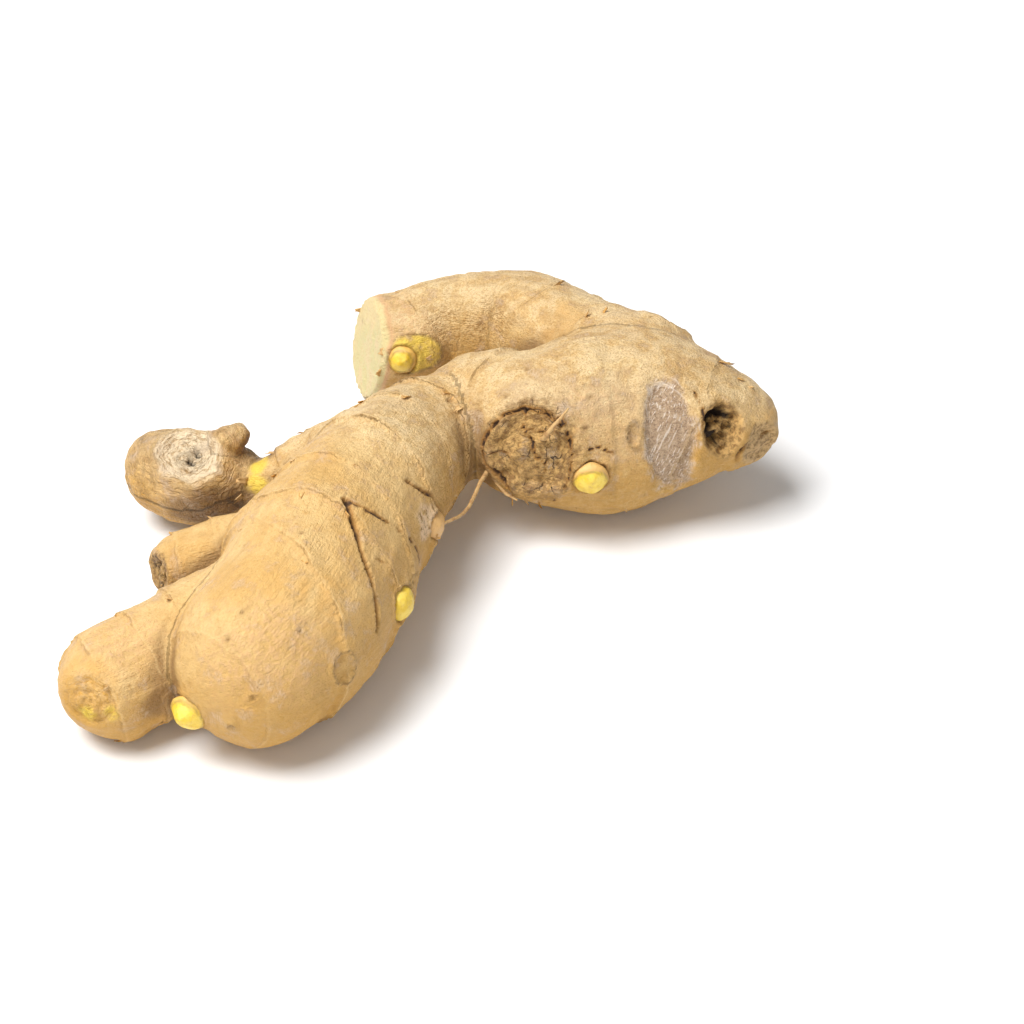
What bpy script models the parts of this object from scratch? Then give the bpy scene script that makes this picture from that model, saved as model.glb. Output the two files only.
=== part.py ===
"""A fresh ginger rhizome lying on a table.

It is in metres with +Z up. Its origin is at the bottom centre of its box.
The sizes below are in millimetres, and the finished body is scaled to metres.
"""

import bmesh
import bpy
import numpy as np
from mathutils import Matrix, Vector, noise

MM = 0.001

# Thickest radius of each limb
MAIN_RADIUS = 18.6
KNUCKLE_RADIUS = 18.8
BACK_RADIUS = 12.5
TOE_RADIUS = 11.0
SIDE_RADIUS = 8.6
STUB_RADIUS = 8.6
NUB_RADIUS = 7.4
SHOULDER_RADIUS = 10.0

# Relief of the skin
RING_HEIGHT = 1.0
RING_RUN = 5.0
RING_DROP = 0.9
RING_WOBBLE = 1.0
RING_WOBBLE_SIZE = 7.0
LUMP_HEIGHT = 0.8
LUMP_SIZE = 17.0
DIMPLE_HEIGHT = 0.3
DIMPLE_SIZE = 4.5
CRACK_WIDTH = 0.9
SMOOTH_BELOW = 2.5
LEVEL = 0.03

# How finely the body is made
STATION_STEP = 3.0
SKIN_CELL = 1.25
TRIANGLES = 11200
SETTLING_ROUNDS = 4

# Each limb: its radius, how softly it runs into the limbs before it, and its stations.
# A station is x, y, z and the share of the limb's radius there.
LIMBS = {
    "main_finger": (
        MAIN_RADIUS,
        4.0,
        (
            (3.2, 16.8, 19.0, 0.55),
            (-5.0, 9.0, 18.6, 0.70),
            (-11.7, -3.5, 20.0, 0.80),
            (-21.3, -26.2, 19.5, 0.94),
            (-26.2, -42.6, 17.9, 0.96),
            (-32.5, -51.6, 16.8, 0.91),
        ),
    ),
    "knuckle": (
        KNUCKLE_RADIUS,
        3.0,
        (
            (8.0, 21.2, 20.0, 0.57),
            (14.6, 17.1, 20.0, 0.74),
            (22.4, 14.5, 19.5, 0.87),
            (33.1, 17.4, 18.6, 1.00),
            (44.4, 17.5, 20.0, 0.87),
            (53.2, 16.5, 21.0, 0.67),
            (60.4, 15.3, 20.0, 0.48),
            (64.1, 13.2, 20.0, 0.27),
        ),
    ),
    "back_finger": (
        BACK_RADIUS,
        5.0,
        (
            (42.3, 29.0, 23.0, 0.90),
            (34.2, 37.4, 20.5, 0.91),
            (26.6, 45.0, 18.0, 0.96),
            (16.7, 55.9, 15.0, 0.96),
            (8.0, 58.0, 14.0, 0.89),
            (-0.7, 57.9, 13.0, 0.82),
            (-9.4, 54.5, 11.2, 0.87),
            (-20.0, 53.0, 10.0, 0.83),
        ),
    ),
    "left_toe": (
        TOE_RADIUS,
        2.0,
        (
            (-38.0, -38.6, 17.0, 0.87),
            (-46.4, -43.8, 14.0, 0.97),
            (-53.8, -48.3, 12.0, 1.00),
            (-59.6, -51.7, 11.0, 1.00),
        ),
    ),
    "side_finger": (
        SIDE_RADIUS,
        4.0,
        (
            (-18.0, 7.5, 18.0, 1.00),
            (-26.1, 5.7, 16.0, 0.76),
            (-32.2, 4.0, 14.0, 0.62),
            (-36.9, 4.5, 12.0, 0.56),
        ),
    ),
    "dried_stub": (
        STUB_RADIUS,
        2.0,
        (
            (-42.4, 6.9, 12.0, 0.78),
            (-48.9, 6.8, 12.0, 1.09),
            (-56.2, 9.5, 12.0, 0.99),
        ),
    ),
    "stub_knob": (
        STUB_RADIUS,
        1.5,
        (
            (-45.0, 7.2, 17.6, 0.44),
            (-42.6, 8.4, 20.4, 0.36),
            (-40.8, 8.8, 21.6, 0.26),
        ),
    ),
    "nub": (
        NUB_RADIUS,
        3.0,
        (
            (-33.1, -14.5, 14.0, 0.96),
            (-42.7, -15.8, 11.0, 1.00),
            (-50.2, -16.9, 9.0, 0.97),
        ),
    ),
    "shoulder": (
        SHOULDER_RADIUS,
        4.0,
        (
            (-9.1, -6.5, 18.0, 0.97),
            (-9.8, -23.4, 17.0, 0.58),
            (-8.3, -34.5, 17.0, 0.46),
        ),
    ),
}

# Each bud: its place on the skin, the way it points, its radius and how far it stands out
BUDS = {
    "crease_bud": ((-45.0, -62.4, 12.6), (-0.45, -0.88, 0.10), 3.3, 3.0),
    "knuckle_bud": ((30.7, -1.8, 19.4), (0.10, -0.95, 0.00), 3.3, 2.2),
    "cut_end_bud": ((-8.6, 44.8, 14.2), (-0.05, -0.90, 0.30), 2.8, 2.4),
    "side_bud": ((-6.0, -39.6, 19.2), (0.85, -0.50, 0.12), 2.8, 1.4),
    "edge_bud": ((-0.5, -18.0, 19.0), (0.92, -0.35, 0.10), 2.4, 1.1),
    "far_bud": ((52.0, 32.5, 19.0), (0.60, 0.80, 0.10), 3.0, 2.0),
    "toe_bud": ((-69.0, -47.0, 12.0), (-0.90, 0.40, 0.10), 2.2, 1.2),
}
BUD_SOFTNESS = 0.9
BUD_TIP = 0.62

# The back finger is cut across here: a point of the cut, the way that it faces and the knife's reach
CUT_AT = (-16.5, 53.0, 11.0)
CUT_FACES = (-0.94, -0.26, 0.22)
KNIFE_RADIUS = 16.0
KNIFE_LENGTH = 26.0

# Rings where leaf scales sat: the limb, how far along it, how far the ring leans over
# towards the limb's end at its top and at its left side, and its share of the height
RINGS = (
    ("main_finger", 12.0, 0.55, 0.10, 0.9),
    ("main_finger", 21.0, 0.45, 0.15, 0.4),
    ("main_finger", 32.0, 0.40, 0.25, 1.0),
    ("main_finger", 47.0, 0.40, 0.20, 0.7),
    ("main_finger", 58.0, 0.35, 0.15, 0.8),
    ("main_finger", 70.0, 0.30, 0.45, 1.0),
    ("main_finger", 90.0, 0.10, 0.00, 0.5),
    ("knuckle", 4.0, 0.10, 0.00, 0.8),
    ("knuckle", 48.0, -0.10, 0.15, 0.4),
    ("knuckle", 56.0, 0.00, 0.10, 0.4),
    ("back_finger", 14.0, 0.20, 0.00, 0.5),
    ("back_finger", 30.0, 0.20, 0.00, 0.35),
    ("back_finger", 51.0, 0.10, 0.00, 0.5),
    ("back_finger", 62.0, 0.10, 0.00, 0.3),
    ("left_toe", 12.0, 0.20, 0.00, 0.6),
    ("left_toe", 21.0, 0.10, 0.00, 0.6),
    ("left_toe", 30.0, 0.00, 0.00, 0.7),
    ("side_finger", 8.0, 0.20, 0.00, 0.5),
    ("side_finger", 14.0, 0.10, 0.00, 0.6),
    ("nub", 10.0, 0.10, 0.00, 0.5),
    ("nub", 18.0, 0.00, 0.00, 0.7),
)
RING_REACH = 1.7

# Scars: place, the way it faces, half sizes across and up, depth of the floor, height of the
# rim, and how deep the pits in its floor are
SCARS = {
    "round_scar": ((18.6, -0.7, 24.0), (-0.25, -0.93, 0.25), 8.4, 9.0, 1.0, 0.9, 0.6),
    "oval_scar": ((45.6, 2.6, 25.6), (0.28, -0.84, 0.46), 4.9, 11.5, 0.8, 0.4, 0.0),
    "hollow_scar": ((57.2, 6.0, 25.8), (0.36, -0.84, 0.40), 4.1, 5.6, 1.4, 0.5, 2.4),
    "nose_scar": ((65.6, 8.2, 19.6), (0.60, -0.79, 0.02), 3.8, 4.8, 1.0, 0.3, 0.0),
    "stub_scar": ((-50.5, 4.5, 20.8), (-0.17, -0.30, 0.94), 6.3, 5.6, 1.3, 0.7, 0.8),
    "nub_scar": ((-55.2, -20.4, 9.4), (-0.80, -0.55, 0.05), 3.6, 4.6, 0.3, 0.4, 0.9),
    "halo_scar": ((-6.0, 44.7, 15.6), (0.05, -0.90, 0.42), 5.2, 3.7, -0.5, 0.3, 0.0),
    "root_scar": ((-16.1, -58.7, 20.6), (0.84, -0.52, 0.18), 2.4, 3.0, 0.3, 0.3, 0.0),
    "top_root_scar": ((26.0, 10.8, 35.9), (0.02, -0.25, 0.97), 1.8, 1.8, 0.3, 0.4, 0.0),
    "far_root_scar": ((-1.5, -2.0, 9.0), (0.85, 0.10, -0.50), 2.4, 2.4, 0.5, 0.5, 0.3),
    "back_root_scar": ((30.0, 55.0, 10.0), (0.40, 0.80, -0.40), 2.2, 2.2, 0.5, 0.5, 0.3),
    "under_root_scar": ((-34.0, -22.0, 8.0), (-0.70, 0.20, -0.70), 2.4, 2.4, 0.5, 0.5, 0.3),
    "old_stem_scar": ((45.0, 34.0, 26.0), (0.55, 0.60, 0.58), 5.0, 5.0, 0.9, 0.7, 0.6),
}
RIM_WIDTH = 0.22
SCAR_REACH = 7.0
SCAR_RAGGED = 0.14
RAGGED_SIZE = 2.6
PIT_SIZE = 2.0

# Cracks in the skin: depth and the points that they run through
CRACKS = {
    "long_crack": (
        1.5,
        ((-17.0, -30.1, 36.1), (-14.1, -37.4, 33.6), (-11.9, -44.1, 29.5), (-10.5, -49.0, 23.4)),
    ),
    "short_crack": (0.7, ((-17.0, -30.1, 36.1), (-11.6, -30.2, 33.5), (-7.4, -29.6, 29.5))),
    "edge_crack": (1.0, ((-6.1, -17.2, 32.1), (-2.0, -15.9, 27.5), (0.4, -14.6, 21.4))),
    "round_scar_top": (1.3, ((24.8, 1.6, 29.9), (21.9, 3.5, 31.6), (17.9, 4.9, 31.9), (13.8, 4.8, 30.1))),
    "round_scar_side": (1.3, ((12.0, 4.3, 28.2), (9.5, 3.8, 23.9), (9.7, 2.8, 20.4), (12.7, 1.1, 17.5))),
    "round_scar_middle": (
        0.7,
        ((17.1, 2.2, 28.9), (19.3, -0.9, 23.9), (21.9, -1.7, 21.7), (20.5, -1.7, 17.0)),
    ),
}


def clear_scene():
    for thing in list(bpy.data.objects):
        bpy.data.objects.remove(thing, do_unlink=True)


def unit(vector):
    return np.array(vector, float) / np.linalg.norm(vector)


def smooth_line(stations, radius):
    """The limb's middle line as points a step apart: x, y, z and radius."""
    knots = np.array(stations, float)
    knots[:, 3] *= radius
    knots = np.vstack([2 * knots[0] - knots[1], knots, 2 * knots[-1] - knots[-2]])
    line = []
    for a, b, c, d in zip(knots, knots[1:], knots[2:], knots[3:]):
        steps = max(1, round(np.linalg.norm(c[:3] - b[:3]) / STATION_STEP))
        for t in np.arange(steps) / steps:
            bend = (c - a) * t + (2 * a - 5 * b + 4 * c - d) * t**2 + (3 * b - a - 3 * c + d) * t**3
            line.append(b + bend / 2)
    return np.array(line + [knots[-2]])


def bud_line(place, points, radius, standing):
    """A bud is a short blunt cone that is sunk in the skin by its radius."""
    way = unit(points)
    root = np.array(place) - radius * way
    tip = np.array(place) + (standing - BUD_TIP * radius) * way
    return np.array([[*root, radius], [*tip, BUD_TIP * radius]])


LINES = {name: smooth_line(stations, radius) for name, (radius, _, stations) in LIMBS.items()}
BUD_LINES = {name: bud_line(*sizes) for name, sizes in BUDS.items()}


def limb_distance(points, line):
    """Distance of each point from the limb's skin."""
    best = np.full(len(points), np.inf)
    for a, b in zip(line, line[1:]):
        run = b[:3] - a[:3]
        share = np.clip((points - a[:3]) @ run / (run @ run), 0, 1)
        off = points - a[:3] - share[:, None] * run
        distance = np.linalg.norm(off, axis=1) - a[3] - share * (b[3] - a[3])
        best = np.minimum(best, distance)
    return best


def blended(first, second, softness):
    """The smaller of two distances, with a soft valley where they meet."""
    mix = np.clip(0.5 + 0.5 * (second - first) / softness, 0, 1)
    return second * (1 - mix) + first * mix - softness * mix * (1 - mix)


def body_distance(points):
    """Distance of each point from the skin of the whole rhizome, before its relief."""
    whole = np.full(len(points), 1000.0)
    for name, line in LINES.items():
        whole = blended(whole, limb_distance(points, line), LIMBS[name][1])
    for line in BUD_LINES.values():
        whole = blended(whole, limb_distance(points, line), BUD_SOFTNESS)
    return whole


def slope(points, reach=0.05):
    """The way that the distance grows fastest, read at the corners of a small tetrahedron."""
    corners = np.array(((1, 1, 1), (1, -1, -1), (-1, 1, -1), (-1, -1, 1)))
    return sum(body_distance(points + reach * c)[:, None] * c for c in corners) / (4 * reach)


def settle_on_skin(points):
    for _ in range(SETTLING_ROUNDS):
        way = slope(points)
        steep = np.maximum((way**2).sum(axis=1), 0.2)
        points = points - way * (body_distance(points) / steep)[:, None]
    return points


def swell(points, size, shift=0.0):
    """Slow smooth noise between about -1 and 1."""
    middle = Vector((shift, shift, shift))
    return np.array([noise.noise(Vector(p / size) + middle) for p in points])


def owned(points):
    """How far each limb owns each point: 1 well inside it, 0 where another limb covers it."""
    distances = {name: limb_distance(points, line) for name, line in LINES.items()}
    shares = {}
    for name, distance in distances.items():
        others = np.min([d for other, d in distances.items() if other != name], axis=0)
        shares[name] = np.clip(0.5 + (others - distance) / 3.0, 0, 1)
    return shares


def ring_place(line, along):
    """The middle of a ring and the way that the limb runs there."""
    steps = np.linalg.norm(np.diff(line[:, :3], axis=0), axis=1)
    ends = np.concatenate([[0], np.cumsum(steps)])
    index = min(np.searchsorted(ends, along), len(steps)) - 1
    index = max(index, 0)
    run = (line[index + 1, :3] - line[index, :3]) / steps[index]
    beyond = along - ends[index]
    radius = line[min(index + 1, len(line) - 1), 3]
    return line[index, :3] + beyond * run, run, radius


def ring_relief(points, shares):
    """A lip at each ring, which runs out slowly behind it and drops off quickly before it."""
    wobble = RING_WOBBLE * swell(points, RING_WOBBLE_SIZE, 3.0)
    relief = np.zeros(len(points))
    for limb, along, top_lean, left_lean, height in RINGS:
        middle, run, radius = ring_place(LINES[limb], along)
        left = unit(np.cross(run, (0, 0, -1)))
        top = np.cross(left, run)
        off = points - middle
        ahead = off @ run - top_lean * (off @ top) - left_lean * (off @ left) + wobble
        near = np.linalg.norm(off, axis=1) < RING_REACH * radius
        lip = np.where(ahead < 0, np.exp(ahead / RING_RUN), np.exp(-((ahead / RING_DROP) ** 2)))
        relief += np.where(near, RING_HEIGHT * height * lip * shares[limb], 0)
    return relief


def scar_relief(points):
    """A sunken, pitted floor inside a ragged raised rim for each scar."""
    relief = np.zeros(len(points))
    ragged = SCAR_RAGGED * swell(points, RAGGED_SIZE, 31.0)
    pitted = np.clip(0.5 + swell(points, PIT_SIZE, 91.0), 0, 1)
    for place, facing, across, up, depth, rim, pits in SCARS.values():
        out = unit(facing)
        side = unit(np.cross((0, 0, 1), out))
        over = np.cross(out, side)
        off = points - np.array(place)
        oval = np.hypot(off @ side / across, off @ over / up) + ragged
        near = np.abs(off @ out) < SCAR_REACH
        floor = (depth + pits * pitted) * np.clip((1.05 - oval) / 0.35, 0, 1)
        edge = rim * np.exp(-(((oval - 1.12) / RIM_WIDTH) ** 2))
        relief += np.where(near, edge - floor, 0)
    return relief


def crack_relief(points):
    """A narrow valley along each crack, which runs out towards its ends."""
    relief = np.zeros(len(points))
    for depth, route in CRACKS.values():
        ends = np.array(route)
        distance = limb_distance(points, np.hstack([ends, np.zeros((len(ends), 1))]))
        relief -= depth * np.exp(-((distance / CRACK_WIDTH) ** 2))
    return relief


def bake_modifiers(thing):
    """Replaces the object's mesh with the mesh that its modifiers make."""
    graph = bpy.context.evaluated_depsgraph_get()
    shaped = bpy.data.meshes.new_from_object(thing.evaluated_get(graph))
    old = thing.data
    thing.modifiers.clear()
    thing.data = shaped
    bpy.data.meshes.remove(old)
    shaped.name = thing.name


def rough_body():
    """Balls along every limb and bud, joined by a remesh into one closed skin."""
    balls = bmesh.new()
    for x, y, z, radius in np.vstack([*LINES.values(), *BUD_LINES.values()]):
        place = Matrix.Translation((x, y, z))
        bmesh.ops.create_icosphere(balls, subdivisions=3, radius=radius, matrix=place)
    mesh = bpy.data.meshes.new("ginger_rhizome")
    balls.to_mesh(mesh)
    balls.free()
    body = bpy.data.objects.new("ginger_rhizome", mesh)
    bpy.context.collection.objects.link(body)
    skin = body.modifiers.new("One skin", "REMESH")
    skin.mode = "VOXEL"
    skin.voxel_size = SKIN_CELL
    bake_modifiers(body)
    return body


def shape_skin(body):
    """Moves the skin onto the limbs' blended surface and raises its relief."""
    mesh = body.data
    flat = np.empty(len(mesh.vertices) * 3)
    mesh.vertices.foreach_get("co", flat)
    points = settle_on_skin(flat.reshape(-1, 3))
    facing = slope(points)
    facing /= np.linalg.norm(facing, axis=1)[:, None]
    relief = LUMP_HEIGHT * swell(points, LUMP_SIZE) + DIMPLE_HEIGHT * swell(points, DIMPLE_SIZE, 51.0)
    relief += ring_relief(points, owned(points)) + scar_relief(points) + crack_relief(points)
    relief *= np.clip(points[:, 2] / SMOOTH_BELOW, 0, 1)
    points = points + facing * relief[:, None]
    mesh.vertices.foreach_set("co", points.ravel())
    mesh.update()


def cut_back_finger(body):
    """A straight cut leaves the back finger's flat end."""
    way = Vector(CUT_FACES).normalized()
    turn = way.to_track_quat("Z", "Y").to_matrix().to_4x4()
    middle = Vector(CUT_AT) + way * (KNIFE_LENGTH / 2)
    block = bmesh.new()
    bmesh.ops.create_cone(
        block,
        cap_ends=True,
        segments=32,
        radius1=KNIFE_RADIUS,
        radius2=KNIFE_RADIUS,
        depth=KNIFE_LENGTH,
        matrix=Matrix.Translation(middle) @ turn,
    )
    mesh = bpy.data.meshes.new("knife")
    block.to_mesh(mesh)
    block.free()
    knife = bpy.data.objects.new("knife", mesh)
    knife.hide_render = True
    knife.display_type = "WIRE"
    bpy.context.collection.objects.link(knife)
    cut = body.modifiers.new("Cut end", "BOOLEAN")
    cut.operation = "DIFFERENCE"
    cut.object = knife
    bake_modifiers(body)
    bpy.data.objects.remove(knife, do_unlink=True)


def thin_out(body):
    """Leaves fewer, larger triangles where the skin is smooth."""
    triangles = sum(len(face.vertices) - 2 for face in body.data.polygons)
    fewer = body.modifiers.new("Fewer faces", "DECIMATE")
    fewer.ratio = TRIANGLES / triangles
    bake_modifiers(body)


def lay_down(body):
    """Flattens the lowest spots at the table and brings the box's bottom centre to the origin."""
    shape = bmesh.new()
    shape.from_mesh(body.data)
    everything = shape.verts[:] + shape.edges[:] + shape.faces[:]
    bmesh.ops.bisect_plane(shape, geom=everything, plane_no=(0, 0, -1), clear_outer=True, dist=LEVEL)
    rims = [edge for edge in shape.edges if edge.is_boundary]
    bmesh.ops.holes_fill(shape, edges=rims)
    for vertex in shape.verts:
        if vertex.co.z < LEVEL:
            vertex.co.z = 0
    corners = np.array([vertex.co for vertex in shape.verts])
    middle = (corners.min(axis=0) + corners.max(axis=0)) / 2
    bmesh.ops.translate(shape, verts=shape.verts, vec=(-middle[0], -middle[1], 0))
    bmesh.ops.scale(shape, verts=shape.verts, vec=(MM, MM, MM))
    bmesh.ops.recalc_face_normals(shape, faces=shape.faces)
    shape.to_mesh(body.data)
    shape.free()
    body.data.shade_smooth()
    body.data.set_sharp_from_angle(angle=0.9)


def skin_material():
    """Thin tan skin, dull and slightly waxy."""
    skin = bpy.data.materials.new("ginger_skin")
    skin.use_nodes = True
    shader = skin.node_tree.nodes["Principled BSDF"]
    shader.inputs["Base Color"].default_value = (0.66, 0.42, 0.19, 1)
    shader.inputs["Roughness"].default_value = 0.62
    shader.inputs["Metallic"].default_value = 0.0
    return skin


def make_rhizome():
    body = rough_body()
    shape_skin(body)
    cut_back_finger(body)
    thin_out(body)
    lay_down(body)
    body.data.materials.append(skin_material())
    return body


clear_scene()
rhizome = make_rhizome()
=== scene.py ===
import math
import random

import bmesh
import bpy
import numpy as np
from mathutils import Matrix, Vector, noise
from mathutils.bvhtree import BVHTree


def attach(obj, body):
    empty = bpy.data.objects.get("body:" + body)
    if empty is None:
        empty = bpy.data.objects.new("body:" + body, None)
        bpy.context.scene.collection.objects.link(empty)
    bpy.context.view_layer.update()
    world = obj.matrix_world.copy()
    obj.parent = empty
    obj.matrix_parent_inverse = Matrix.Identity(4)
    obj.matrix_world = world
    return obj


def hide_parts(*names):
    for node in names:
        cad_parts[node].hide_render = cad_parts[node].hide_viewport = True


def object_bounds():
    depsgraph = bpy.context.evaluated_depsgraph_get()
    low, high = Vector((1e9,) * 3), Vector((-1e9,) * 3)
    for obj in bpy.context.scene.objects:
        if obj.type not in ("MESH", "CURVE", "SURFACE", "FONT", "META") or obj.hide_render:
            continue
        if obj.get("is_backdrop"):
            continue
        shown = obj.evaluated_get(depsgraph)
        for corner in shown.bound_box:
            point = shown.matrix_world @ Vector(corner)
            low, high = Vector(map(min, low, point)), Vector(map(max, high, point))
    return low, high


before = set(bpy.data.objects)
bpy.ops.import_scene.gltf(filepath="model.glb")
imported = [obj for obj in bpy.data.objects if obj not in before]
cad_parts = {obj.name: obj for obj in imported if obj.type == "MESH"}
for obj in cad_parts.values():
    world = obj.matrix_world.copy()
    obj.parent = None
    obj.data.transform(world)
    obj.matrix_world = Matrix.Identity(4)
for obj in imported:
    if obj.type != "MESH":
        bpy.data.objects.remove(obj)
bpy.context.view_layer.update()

# The rhizome's body: a swollen underground stem that grew in one piece and branched into
# stubby fingers. Its skin is thin, dull and papery over firm flesh, so it is one closed
# mesh. Sizes here are in millimetres, in the frame in which the limbs' middle lines are drawn.
MM = 0.001
DRAWN_AT = np.array((0.69, 0.06, 0.0))
SKIN_CELL = 0.63
STATION_STEP = 3.0
SETTLING_ROUNDS = 2

MAIN_RADIUS = 18.6
KNUCKLE_RADIUS = 18.8
BACK_RADIUS = 12.5
TOE_RADIUS = 11.0
SIDE_RADIUS = 8.6
STUB_RADIUS = 8.6
NUB_RADIUS = 7.4
SHOULDER_RADIUS = 10.0

# Each limb: its radius, how softly it runs into the limbs before it, how wrinkled its skin
# is, and its stations. A station is x, y, z and the share of the limb's radius there.
LIMBS = {
    "main_finger": (MAIN_RADIUS, 4.0, 0.7, (
        (3.2, 16.8, 19.0, 0.55), (-5.0, 9.0, 18.6, 0.70), (-11.7, -3.5, 20.0, 0.80),
        (-21.3, -26.2, 19.5, 0.94), (-26.2, -42.6, 17.9, 0.96), (-32.5, -51.6, 16.8, 0.91),
    )),
    "knuckle": (KNUCKLE_RADIUS, 3.0, 1.0, (
        (8.0, 21.2, 20.0, 0.57), (14.6, 17.1, 20.0, 0.74), (22.4, 14.5, 19.5, 0.87),
        (33.1, 17.4, 18.6, 1.00), (44.4, 17.5, 20.0, 0.87), (53.2, 16.5, 21.0, 0.67),
        (60.4, 15.3, 20.0, 0.48), (64.1, 13.2, 20.0, 0.27),
    )),
    "back_finger": (BACK_RADIUS, 5.0, 1.1, (
        (42.3, 29.0, 23.0, 0.90), (34.2, 37.4, 20.5, 0.91), (26.6, 45.0, 18.0, 0.96),
        (16.7, 55.9, 15.0, 0.96), (8.0, 58.0, 14.0, 0.89), (-0.7, 57.9, 13.0, 0.82),
        (-9.4, 54.5, 11.2, 0.87), (-20.0, 53.0, 10.0, 0.83),
    )),
    "left_toe": (TOE_RADIUS, 2.0, 0.9, (
        (-38.0, -38.6, 17.0, 0.87), (-46.4, -43.8, 14.0, 0.97), (-53.8, -48.3, 12.0, 1.00),
        (-59.6, -51.7, 11.0, 1.00),
    )),
    "side_finger": (SIDE_RADIUS, 4.0, 0.9, (
        (-18.0, 7.5, 18.0, 1.00), (-26.1, 5.7, 16.0, 0.76), (-32.2, 4.0, 14.0, 0.62),
        (-36.9, 4.5, 12.0, 0.56),
    )),
    "dried_stub": (STUB_RADIUS, 2.0, 1.7, (
        (-42.4, 6.9, 12.0, 0.78), (-48.9, 6.8, 12.0, 1.09), (-56.2, 9.5, 12.0, 0.99),
    )),
    "stub_knob": (STUB_RADIUS, 1.5, 2.4, (
        (-45.0, 7.2, 17.6, 0.44), (-42.6, 8.4, 20.4, 0.36), (-40.8, 8.8, 21.6, 0.26),
    )),
    "nub": (NUB_RADIUS, 3.0, 0.8, (
        (-33.1, -14.5, 14.0, 0.96), (-42.7, -15.8, 11.0, 1.00), (-50.2, -16.9, 9.0, 0.97),
    )),
    "shoulder": (SHOULDER_RADIUS, 4.0, 0.6, (
        (-9.1, -6.5, 18.0, 0.97), (-9.8, -23.4, 17.0, 0.58), (-8.3, -34.5, 17.0, 0.46),
    )),
}

# Each bud: its place on the skin, the way it points, its radius and how far it stands out
BUDS = {
    "crease_bud": ((-45.0, -62.4, 12.6), (-0.45, -0.88, 0.10), 3.3, 3.0),
    "knuckle_bud": ((30.7, -1.8, 19.4), (0.10, -0.95, 0.00), 3.3, 2.2),
    "cut_end_bud": ((-8.6, 44.8, 14.2), (-0.05, -0.90, 0.30), 2.8, 2.4),
    "side_bud": ((-6.0, -39.6, 19.2), (0.85, -0.50, 0.12), 3.1, 1.6),
    "edge_bud": ((-0.4, -17.4, 20.0), (0.92, -0.35, 0.10), 2.7, 1.6),
    "far_bud": ((52.0, 32.5, 19.0), (0.60, 0.80, 0.10), 3.0, 2.0),
    "toe_bud": ((-69.0, -47.0, 12.0), (-0.90, 0.40, 0.10), 2.2, 1.2),
}
BUD_SOFTNESS = 0.9
BUD_TIP = 0.62


def bell(away, width):
    """1 where the distance is 0, falling off smoothly over the width."""
    return np.exp(-((away / width) ** 2))


def unit(vector):
    return np.array(vector, float) / np.linalg.norm(vector)


def smooth_line(stations, radius):
    """The limb's middle line as points a step apart: x, y, z and radius."""
    knots = np.array(stations, float)
    knots[:, 3] *= radius
    knots = np.vstack([2 * knots[0] - knots[1], knots, 2 * knots[-1] - knots[-2]])
    line = []
    for a, b, c, d in zip(knots, knots[1:], knots[2:], knots[3:]):
        steps = max(1, round(np.linalg.norm(c[:3] - b[:3]) / STATION_STEP))
        for t in np.arange(steps) / steps:
            bend = (c - a) * t + (2 * a - 5 * b + 4 * c - d) * t**2 + (3 * b - a - 3 * c + d) * t**3
            line.append(b + bend / 2)
    return np.array(line + [knots[-2]])


def bud_line(place, points, radius, standing):
    """A bud is a short blunt cone that is sunk in the skin by its radius."""
    way = unit(points)
    root = np.array(place) - radius * way
    tip = np.array(place) + (standing - BUD_TIP * radius) * way
    return np.array([[*root, radius], [*tip, BUD_TIP * radius]])


LINES = {name: smooth_line(stations, radius) for name, (radius, _, _, stations) in LIMBS.items()}
BUD_LINES = {name: bud_line(*sizes) for name, sizes in BUDS.items()}


def limb_distance(points, line):
    """Distance of each point from the limb's skin."""
    best = np.full(len(points), np.inf)
    for a, b in zip(line, line[1:]):
        run = b[:3] - a[:3]
        share = np.clip((points - a[:3]) @ run / (run @ run), 0, 1)
        off = points - a[:3] - share[:, None] * run
        distance = np.linalg.norm(off, axis=1) - a[3] - share * (b[3] - a[3])
        best = np.minimum(best, distance)
    return best


def blended(first, second, softness):
    """The smaller of two distances, with a soft valley where they meet."""
    mix = np.clip(0.5 + 0.5 * (second - first) / softness, 0, 1)
    return second * (1 - mix) + first * mix - softness * mix * (1 - mix)


def body_distance(points):
    """Distance of each point from the skin of the whole rhizome, before its relief."""
    whole = np.full(len(points), 1000.0)
    for name, line in LINES.items():
        whole = blended(whole, limb_distance(points, line), LIMBS[name][1])
    for line in BUD_LINES.values():
        whole = blended(whole, limb_distance(points, line), BUD_SOFTNESS)
    return whole


def slope(points, reach=0.05):
    """The way that the distance grows fastest, read at the corners of a small tetrahedron."""
    corners = np.array(((1, 1, 1), (1, -1, -1), (-1, 1, -1), (-1, -1, 1)))
    return sum(body_distance(points + reach * c)[:, None] * c for c in corners) / (4 * reach)


def settle_on_skin(points, share):
    for _ in range(SETTLING_ROUNDS):
        way = slope(points)
        steep = np.maximum((way**2).sum(axis=1), 0.2)
        points = points - way * (share * body_distance(points) / steep)[:, None]
    return points


def swell(points, size, shift=0.0):
    """Slow smooth noise between about -1 and 1."""
    middle = Vector((shift, shift, shift))
    return np.array([noise.noise(Vector(p / size) + middle) for p in points])


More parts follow.
